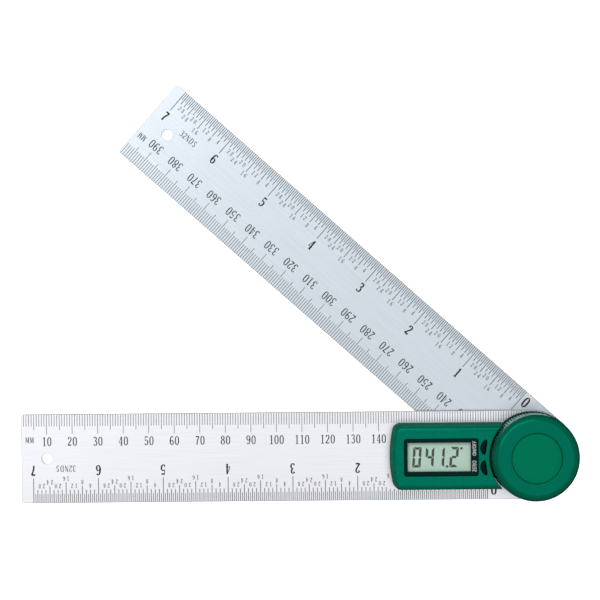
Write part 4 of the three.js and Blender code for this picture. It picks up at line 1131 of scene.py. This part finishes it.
    def bezel(self) -> None:
        """The black frame round the window, with a finely rounded rim and a sharp view opening."""
        outline = rounded_rectangle(self.bezel_length, self.frame_width, self.bezel_corner,
                                    (self.bezel_x, self.frame_rise))
        view = rounded_rectangle(self.view_length, self.view_width, self.view_corner,
                                 (self.view_x, self.view_rise), 3)[::-1]
        rim = edge_rings(self.bezel_foot, self.bezel_top, self.frame_edge, 4)
        rebate_top = self.bezel_foot + self.rebate_height
        sides = [(self.bezel_foot, self.rebate_reach), (rebate_top, self.rebate_reach), (rebate_top, 0.0),
                 (self.bezel_top - self.view_edge, 0.0), (self.bezel_top, self.view_edge)]
        skin = Skin()
        skin.plate([(outline, rim), (view, sides)])
        skin.piece("window_frame", BLACK_ABS, UPPER_ARM, ("window_bezel",))

    def words(self) -> None:
        """What the two keys do, printed beside them and reading upwards."""
        skin = Skin()
        levels = (self.bezel_top - self.print_rise / 2, self.bezel_top + self.print_rise)
        x = self.bezel_right - self.frame_right / 2 + self.word_shift
        for word, y, height in self.key_words:
            PLAIN.write(skin, word, (x, y), (0.0, 1.0), height, levels)
        skin.piece("key_words", WHITE_PRINT, UPPER_ARM)

    def segment(self, letter: str) -> Array:
        """One segment of a digit, centred on the digit's middle: its ends are cut slanting, so that it meets
        its neighbours at the corners across a hairline gap."""
        x, y, t, gap = self.digit_width / 2, self.digit_height / 2, self.segment_width, self.segment_gap
        lying = np.array([(gap - x, y), (t + gap - x, y - t), (x - t - gap, y - t), (x - gap, y)])
        upright = np.array([(x, y - gap), (x - t, y - t - gap), (x - t, t / 2 + gap), (x - t / 2, gap),
                            (x, gap)])
        across = x - t / 2 - gap
        middle = np.array([(-across, 0), (t / 2 - across, t / 2), (across - t / 2, t / 2), (across, 0),
                           (across - t / 2, -t / 2), (t / 2 - across, -t / 2)])
        shape = {"a": lying, "d": lying, "g": middle}.get(letter, upright)
        return shape * [-1 if letter in "ef" else 1, -1 if letter in "cde" else 1]

    def display(self) -> None:
        """The display glass with its driven segments, a decimal point and a degree sign."""
        bottom, top = low("lcd_panel", 2), high("lcd_panel", 2)
        length = high("lcd_panel", 0) - low("lcd_panel", 0)
        width = high("lcd_panel", 1) - low("lcd_panel", 1)
        glass = Skin()
        outline = rounded_rectangle(length, width, self.glass_corner, (self.view_x, 0), 2)
        glass.plate([(outline, edge_rings(bottom, top, self.glass_edge, 2))])
        glass.piece("display_glass", LCD_GLASS, UPPER_ARM, ("lcd_panel",))
        marks = Skin()
        loops = [self.segment(letter) + [x, 0] for x, lit in self.digits for letter in lit]
        loops += [circle(radius, 16, (x, y)) for radius, x, y in self.dots]
        for loop in loops:
            slanted = loop + np.column_stack([self.slant * loop[:, 1], np.zeros(len(loop))])
            marks.prism(slanted + [0, self.digit_middle], top - self.mark_sink, top + self.mark_rise)
        marks.piece("display_segments", LCD_SEGMENT, UPPER_ARM)

    def key(self, side: int, node: str) -> None:
        """A key cap: a flange under the roof, an upright side, and a softly crowned top.

        The crown's rings shrink towards the cap's middle while they rise as a parabola.

        Args:
            side: 1 for the upper key and -1 for the lower one.
            node: the CAD node that it replaces.
        """
        foot, top = low(node, 2), high(node, 2)
        flange_top = foot + self.key_flange_height
        plan = self.key_plan(side, 0)
        flange = self.key_plan(side, self.key_flange)
        edge = self.key_edge
        edge_foot = top - self.key_crown - edge
        last = math.radians(self.key_edge_deg)
        skin = Skin()
        rings = [skin.ring(flange, foot), skin.ring(flange, flange_top), skin.ring(plan, flange_top)]
        rings += [skin.ring(inset(plan, edge * (1 - math.cos(a))), edge_foot + edge * math.sin(a))
                  for a in np.linspace(0, last, 5)]
        rim = inset(plan, edge * (1 - math.cos(last)))
        rim_z = edge_foot + edge * math.sin(last)
        middle = rim.mean(axis=0)
        shrink = np.linspace(1, 0, 7)[1:-1]
        rings += [skin.ring(middle + (rim - middle) * share, rim_z + (top - rim_z) * (1 - share ** 2))
                  for share in shrink]
        skin.wall(rings)
        skin.cap([rings[0]])
        skin.fan(rings[-1], (*middle, top))
        body = "on_off_key" if side > 0 else "zero_key"
        skin.piece(f"{node}_cap", KEY_ABS, body, (node,), 50)


@dataclass
class LockKnob:
    """The round knob that locks the angle, with a serrated side and a disc set in its top."""

    radius: float = 16.85
    fillet: float = 3.2
    teeth: int = 90
    tooth_points: int = 10
    tooth_depth: float = 0.38
    hollow_radius: float = 14.73
    boss_radius: float = 8.6
    nut_flats: float = 13.2
    recess_radius: float = 9.66
    recess_depth: float = 1.2
    recess_edge: float = 0.5
    badge_radius: float = 9.62
    badge_edge: float = 0.18
    badge_crown: float = 0.03
    foot_band: float = 0.35
    foot_step: float = 0.02
    flat_margin: float = 0.1
    groove_power: float = 1.2
    tooth_runout: float = 0.6
    boss_drop: float = 0.4
    web: float = 1.3

    def __post_init__(self) -> None:
        """Takes the levels from the CAD nodes."""
        self.foot = low("lock_knob", 2)
        self.top = high("lock_knob", 2)
        self.badge_top = high("knob_badge", 2)
        self.badge_foot = low("knob_badge", 2)
        self.nut_foot = low("knob_nut", 2)

    def build(self) -> None:
        """Makes the knob and its badge."""
        self.grip()
        self.badge()

    def grip(self) -> None:
        """The knob's moulding.

        The profile goes from the foot up the side, over the rounded shoulder and the rounded lip of the
        recess to the recess's floor, and back underneath round the hollow and the nut's boss. A tooth takes
        off the radius one depth times half of one minus the cosine of the angle times the tooth count,
        raised to a power that widens the crests. It fades out at both ends of the grip, and the toothed
        rings take the glossy serration finish, whose light green is a painted highlight.
        """
        shoulder = self.top - self.fillet
        grip_foot = self.foot + self.foot_band
        quarter = np.linspace(0, math.pi / 2, 15)[1:]
        side = [(self.radius, z) for z in np.linspace(grip_foot, shoulder, 7)]
        bend = [(self.radius - self.fillet * (1 - math.cos(a)), shoulder + self.fillet * math.sin(a))
                for a in quarter]
        lip_start = self.recess_radius + self.recess_edge
        brow = [(self.radius - self.fillet - self.flat_margin, self.top),
                (lip_start + self.flat_margin, self.top)]
        lip = [(lip_start - self.recess_edge * math.sin(a), self.top - self.recess_edge * (1 - math.cos(a)))
               for a in np.linspace(0, math.pi / 2, 6)]
        floor = self.top - self.recess_depth
        foot_radius = self.radius - self.tooth_depth
        plain = [(foot_radius, self.foot), (foot_radius, grip_foot - self.foot_step)]
        profile = np.array([*plain, *side, *bend, *brow, *lip, (self.recess_radius, floor)])
        count = self.teeth * self.tooth_points
        angle = np.linspace(0, 2 * math.pi, count, endpoint=False)
        groove = (0.5 - 0.5 * np.cos(self.teeth * angle)) ** self.groove_power
        fade = np.clip((shoulder + self.tooth_runout - profile[:, 1]) / self.tooth_runout, 0, 1)
        fade[:len(plain)] = 0
        skin = Skin()
        grid = skin.rings_of(profile, count, wave=self.tooth_depth * fade[:, None] * groove)
        last_toothed = len(plain) + int(np.sum(fade > 0))
        skin.coats.update(dict.fromkeys(range(len(plain) * count, last_toothed * count), 1))
        skin.fan(grid[-1], (0, 0, floor))
        ceiling = floor - self.web
        boss_foot = self.nut_foot - self.boss_drop
        pocket = self.nut_flats / 2
        under = [(pocket, ceiling), (pocket, boss_foot), (self.boss_radius, boss_foot),
                 (self.boss_radius, ceiling), (self.hollow_radius, ceiling), (self.hollow_radius, self.foot)]
        below = skin.rings_of(np.array(under), count)
        skin.fan(below[0], (0, 0, ceiling))
        skin.wall([below[-1], grid[0]])
        skin.piece("knob_grip", KNOB_ABS, KNOB, ("lock_knob",), 40, coats=(KNURL_PAINTED_HIGHLIGHT,))

    def badge(self) -> None:
        """The plain disc in the recess: its rim is a quarter circle, and its top rises to the middle as a
        parabola, by a hair."""
        edge, crown = self.badge_edge, self.badge_crown
        turn = np.linspace(0, math.pi / 2, 5)
        rim = self.badge_radius - edge
        rim_foot = self.badge_top - edge - crown
        profile = [(0, self.badge_foot), (self.badge_radius, self.badge_foot)]
        profile += [(rim + edge * math.cos(a), rim_foot + edge * math.sin(a)) for a in turn]
        profile += [(rim * s, self.badge_top - crown * s ** 2) for s in (0.8, 0.6, 0.4, 0.2)]
        profile += [(0, self.badge_top)]
        skin = Skin()
        skin.lathe(profile, 120)
        skin.piece("knob_disc", BADGE_ABS, KNOB, ("knob_badge",))


@dataclass
class Underside:
    """What shows from below: the round back cap, the battery door and the screws."""

    cap_radius: float = 15.0
    cap_edge: float = 0.4
    stud_recess: float = 9.2
    stud_floor: float = 0.6
    pin_radius: float = 1.2
    pin_circle: float = 12.1
    pin_start_deg: float = 30.0
    hub_circle: float = 14.3
    door_x: float = -39.0
    door_radius: float = 10.4
    door_edge: float = 0.15
    slot_length: float = 13.0
    slot_width: float = 1.6
    slot_depth: float = 0.7
    slot_edge: float = 0.1
    lug_reach: float = 11.35
    lug_thickness: float = 0.6
    lug_start_deg: float = 7.5
    lug_span_deg: float = 30.0
    lug_root: float = 0.3
    lug_lift: float = 0.05
    root_setback: float = 0.02
    root_reach: float = 0.1
    head_radius: float = 1.9
    head_depth: float = 1.0
    head_edge: float = 0.06
    shank_radius: float = 0.9
    thread_pitch: float = 0.4
    thread_depth: float = 0.12
    tip_length: float = 0.2
    tip_taper: float = 0.25
    cross_reach: float = 1.0
    cross_half_width: float = 0.25
    cross_depth: float = 0.5
    cross_floor_share: float = 0.75

    def build(self) -> None:
        """Makes the cap, the door and all seven screws."""
        self.back_cap()
        self.door()
        for k in range(4):
            self.screw(f"case_screw_{k + 1}")
        for k in range(3):
            self.screw(f"hub_screw_{k + 1}")

    def back_cap(self) -> None:
        """The cap over the stud's head, with a rounded rim, a recess above and three pins."""
        top = low("lower_blade", 2)
        turn = np.linspace(0, math.pi / 2, 6)
        rim = self.cap_radius - self.cap_edge
        skin = Skin()
        profile = [(0, 0.0)]
        profile += [(rim + self.cap_edge * math.sin(a), self.cap_edge * (1 - math.cos(a))) for a in turn]
        profile += [(self.cap_radius, top), (self.stud_recess, top), (self.stud_recess, self.stud_floor),
                    (0, self.stud_floor)]
        skin.lathe(profile, 120)
        pin_top = high("back_cap", 2)
        for place in thirds(self.pin_circle, self.pin_start_deg):
            skin.lathe([(0, self.stud_floor), (self.pin_radius, self.stud_floor), (self.pin_radius, pin_top),
                        (0, pin_top)], 24, place)
        skin.turn(-OPENING_DEG)
        skin.piece("back_cap_moulding", GREEN_ABS, LOWER_ARM, ("back_cap",))

    def door(self) -> None:
        """The quarter-turn battery door, with a coin slot below and two lugs above."""
        bottom = low("battery_door", 2)
        top = high("upper_blade", 2)
        centre = (self.door_x, 0.0)
        skin = Skin()
        disc = circle(self.door_radius, 96, centre)
        rings = [skin.ring(inset(disc, d), z) for z, d in edge_rings(bottom, top, self.door_edge)]
        skin.wall(rings)
        half = (self.slot_length - self.slot_width) / 2
        slot = np.concatenate([arc((self.door_x + half, 0), self.slot_width / 2, -90, 90, 10),
                               arc((self.door_x - half, 0), self.slot_width / 2, 90, 270, 10)])[::-1]
        walls = [skin.ring(inset(slot, self.slot_edge), bottom), skin.ring(slot, bottom + self.slot_edge),
                 skin.ring(slot, bottom + self.slot_depth)]
        skin.wall(walls)
        skin.cap([rings[0], walls[0]])
        skin.cap([walls[-1]])
        skin.cap([rings[-1]])
        lug_foot = top + self.lug_lift
        for start in (self.lug_start_deg, self.lug_start_deg + 180):
            end = start + self.lug_span_deg
            inner = arc(centre, self.door_radius - self.lug_root, end, start, 12)
            lug = np.concatenate([arc(centre, self.lug_reach, start, end, 12), inner])
            skin.prism(lug, lug_foot, lug_foot + self.lug_thickness)
            root = np.concatenate([arc(centre, self.door_radius - self.root_setback, start, end, 12), inner])
            skin.prism(root, top - self.root_reach, top + self.root_reach)
        skin.piece("battery_door_moulding", DOOR_ABS, "door", ("battery_door",))

    def screw(self, node: str) -> None:
        """A countersunk cross-recess screw, head down.

        The shank's radius swings between crest and root once a pitch of height, which draws the thread.

        Args:
            node: the CAD node that it replaces.
        """
        bottom, top = low(node, 2), high(node, 2)
        centre = ((low(node, 0) + high(node, 0)) / 2, (low(node, 1) + high(node, 1)) / 2)
        skin = Skin()
        rim = circle(self.head_radius, 32, centre)
        reach, half = self.cross_reach, self.cross_half_width
        cross = np.array([(reach, -half), (reach, half), (half, half), (half, reach), (-half, reach),
                          (-half, half), (-reach, half), (-reach, -half), (-half, -half), (-half, -reach),
                          (half, -reach), (half, -half)])[::-1] + centre
        floor = centre + (cross - centre) * self.cross_floor_share
        outer = skin.ring(inset(rim, self.head_edge), bottom)
        edge = skin.ring(rim, bottom + self.head_edge)
        mouth = skin.ring(cross, bottom)
        well = skin.ring(floor, bottom + self.cross_depth)
        skin.wall([mouth, well])
        skin.cap([outer, mouth])
        skin.cap([well])
        heights = np.arange(bottom + self.head_depth, top - self.tip_length, self.thread_pitch / 2)
        radii = self.shank_radius - self.thread_depth * (np.arange(len(heights)) % 2)
        shank = [skin.ring(circle(r, 32, centre), z) for r, z in zip(radii, heights)]
        tip = skin.ring(circle(self.shank_radius - self.tip_taper, 32, centre), top)
        skin.wall([outer, edge, *shank, tip])
        skin.fan(tip, (*centre, top))
        skin.piece(f"{node}_threaded", BRIGHT_STEEL, UPPER_ARM, (node,), 40)


def upper_rule() -> SteelRule:
    """The level rule, with the bore for the bush, the door's hole with its two notches, and seven
    countersunk seats. The notches stand where the lugs are when the door is turned open, with some play."""
    bush_hole, bush_edge = 6.5, 0.1
    door_hole, notch_reach, door_turn_deg, notch_play_deg = 10.6, 11.55, 45.0, 1.5
    screw_hole, seat_depth = 1.0, 1.0
    bottom, top = low("upper_blade", 2), high("upper_blade", 2)
    edges = edge_rings(bottom, top, bush_edge, 2)
    centre = (Underside.door_x, 0)
    door = []
    for start in (Underside.lug_start_deg, Underside.lug_start_deg + 180):
        first = start - door_turn_deg - notch_play_deg
        last = start - door_turn_deg + Underside.lug_span_deg + notch_play_deg
        door.append(arc(centre, notch_reach, first, last, 12))
        door.append(arc(centre, door_hole, last, first + 180, 40))
    seat = [(bottom, seat_depth), (bottom + seat_depth, 0.0), (top, 0.0)]
    holes = [(circle(bush_hole, 64)[::-1], edges), (np.concatenate(door)[::-1], edges)]
    holes += [(circle(screw_hole, 32, place)[::-1], seat)
              for place in (*DisplayCase.bosses, *thirds(Underside.hub_circle, 0.0))]
    return SteelRule("upper_blade", UPPER_ARM, UPPER_STEEL, 0.0, 1, 0, holes, True)


def lower_rule() -> SteelRule:
    """The turned rule, with the keyed hole for the stud and the holes for the back cap's pins."""
    key_radius, key_flat, key_edge, pin_hole = 6.6, 5.3, 0.05, 1.3
    edges = edge_rings(low("lower_blade", 2), high("lower_blade", 2), key_edge, 1)
    half = math.degrees(math.asin(key_flat / key_radius))
    keyed = np.concatenate([arc((0, 0), key_radius, -half, half, 24),
                            arc((0, 0), key_radius, 180 - half, 180 + half, 24)])
    holes = [(keyed[::-1], edges)]
    holes += [(circle(pin_hole, 24, place)[::-1], edges)
              for place in thirds(Underside.pin_circle, Underside.pin_start_deg)]
    return SteelRule("lower_blade", LOWER_ARM, LOWER_STEEL_PAINTED_SHADE, -OPENING_DEG, -1, 200, holes, False)


def dress_frame() -> None:
    """Gives every CAD node that still shows its own finish."""
    for node, finish in NODE_FINISHES.items():
        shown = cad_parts[node]
        shown.data.materials.clear()
        shown.data.materials.append(finish.material())
        LOG.info("%s: CAD node in %s", node, finish.name)


@dataclass
class Studio:
    """A white table, soft boxes and the camera at the photograph's place."""

    camera_place: tuple[float, float, float] = (-90.2, 73.4, 570.5)
    camera_turn_deg: tuple[float, float, float] = (-1.22, 0.0, -0.51)
    lens: float = 86.82
    table_size_m: float = 6.0
    table_drop_m: float = 5e-5
    table_glow: float = 0.93
    world_strength: float = 0.35
    # The boxes that don't hang straight overhead point here.
    aim: tuple[float, float, float] = (-90.0, 30.0, 0.0)
    boxes: tuple[tuple[str, tuple[float, float, float], Point, float], ...] = (
        ("overhead_left", (-500.0, 50.0, 900.0), (370.0, 1000.0), 1.48),
        ("overhead_middle", (-150.0, 50.0, 900.0), (340.0, 1000.0), 0.86),
        ("overhead_right", (200.0, 50.0, 900.0), (370.0, 1000.0), 1.44),
        ("far_strip", (-190.0, 560.0, 720.0), (600.0, 220.0), 2.4),
        ("far_left", (-560.0, 300.0, 720.0), (300.0, 300.0), 1.0),
        ("under_table", (-300.0, -260.0, -600.0), (500.0, 500.0), 1.6),
    )

    def build(self) -> None:
        """Sets up the camera, the table and the lights."""
        self.camera()
        self.table()
        self.lights()

    def camera(self) -> None:
        """The camera that the photograph was fitted with."""
        data = bpy.data.cameras.new("photo_camera")
        data.lens = self.lens
        data.sensor_width = 36.0
        data.clip_start = 0.01
        data.clip_end = 20.0
        camera = bpy.data.objects.new("photo_camera", data)
        camera.location = [v * MM for v in self.camera_place]
        camera.rotation_euler = [math.radians(v) for v in self.camera_turn_deg]
        bpy.context.scene.collection.objects.link(camera)
        bpy.context.scene.camera = camera

    def table(self) -> None:
        """A white table top that glows for the camera, so that it stays white.

        It is clear from below and for the light that comes from below, so that the underside can be seen.
        Other rays find it dark, so that it doesn't whiten the sides of the part.
        """
        half = self.table_size_m / 2
        corners = [(x * half, y * half, -self.table_drop_m) for x, y in ((-1, -1), (1, -1), (1, 1), (-1, 1))]
        mesh = bpy.data.meshes.new("white_table")
        mesh.from_pydata(corners, [], [(0, 1, 2, 3)])
        made = bpy.data.materials.new("white_laminate")
        made.use_nodes = True
        tree = made.node_tree
        tree.nodes.clear()
        facing = add_node(tree, "ShaderNodeNewGeometry")
        ray = add_node(tree, "ShaderNodeLightPath")
        board = add_node(tree, "ShaderNodeBsdfPrincipled", None, {
            "Base Color": linear("f4f4f4"), "Roughness": 0.8,
            "Emission Color": (1.0, 1.0, 1.0, 1.0), "Emission Strength": self.table_glow})
        bounced = add_node(tree, "ShaderNodeBsdfDiffuse", None, {"Color": linear("2c2c2c")})
        seen = add_node(tree, "ShaderNodeMixShader", None, {
            0: ray.outputs["Is Camera Ray"], 1: bounced.outputs["BSDF"], 2: board.outputs["BSDF"]})
        clear = add_node(tree, "ShaderNodeBsdfTransparent")
        lets_through = add_node(tree, "ShaderNodeMath", {"operation": "MAXIMUM"}, {
            0: facing.outputs["Backfacing"], 1: ray.outputs["Is Shadow Ray"]})
        both = add_node(tree, "ShaderNodeMixShader", None, {
            0: lets_through.outputs["Value"], 1: seen.outputs["Shader"], 2: clear.outputs["BSDF"]})
        add_node(tree, "ShaderNodeOutputMaterial", None, {"Surface": both.outputs["Shader"]})
        mesh.materials.append(made)
        table = bpy.data.objects.new("white_table", mesh)
        bpy.context.scene.collection.objects.link(table)

    def lights(self) -> None:
        """An even white room, three long soft boxes overhead, two smaller ones from the upper left, and one
        under the table for views from below."""
        world = bpy.data.worlds.new("white_room")
        world.use_nodes = True
        back = world.node_tree.nodes["Background"]
        back.inputs["Color"].default_value = (0.96, 0.98, 1.0, 1.0)
        back.inputs["Strength"].default_value = self.world_strength
        bpy.context.scene.world = world
        bpy.context.scene.view_settings.view_transform = "Standard"
        for name, place, size, power in self.boxes:
            aim = (place[0], place[1], 0.0) if name.startswith("overhead") else self.aim
            data = bpy.data.lights.new(name, "AREA")
            data.shape = "RECTANGLE"
            data.size = size[0] * MM
            data.size_y = size[1] * MM
            data.energy = power
            lamp = bpy.data.objects.new(name, data)
            lamp.location = [v * MM for v in place]
            lamp.rotation_euler = (Vector(aim) - Vector(place)).to_track_quat("-Z", "Y").to_euler()
            bpy.context.scene.collection.objects.link(lamp)


def main() -> None:
    """Builds the whole model and its studio."""
    logging.basicConfig(level=logging.INFO, format="%(name)s: %(message)s")
    Studio().build()
    for assembly in (upper_rule(), lower_rule(), DisplayCase(), LockKnob(), Underside()):
        assembly.build()
    dress_frame()


if __name__ == "__main__":
    main()
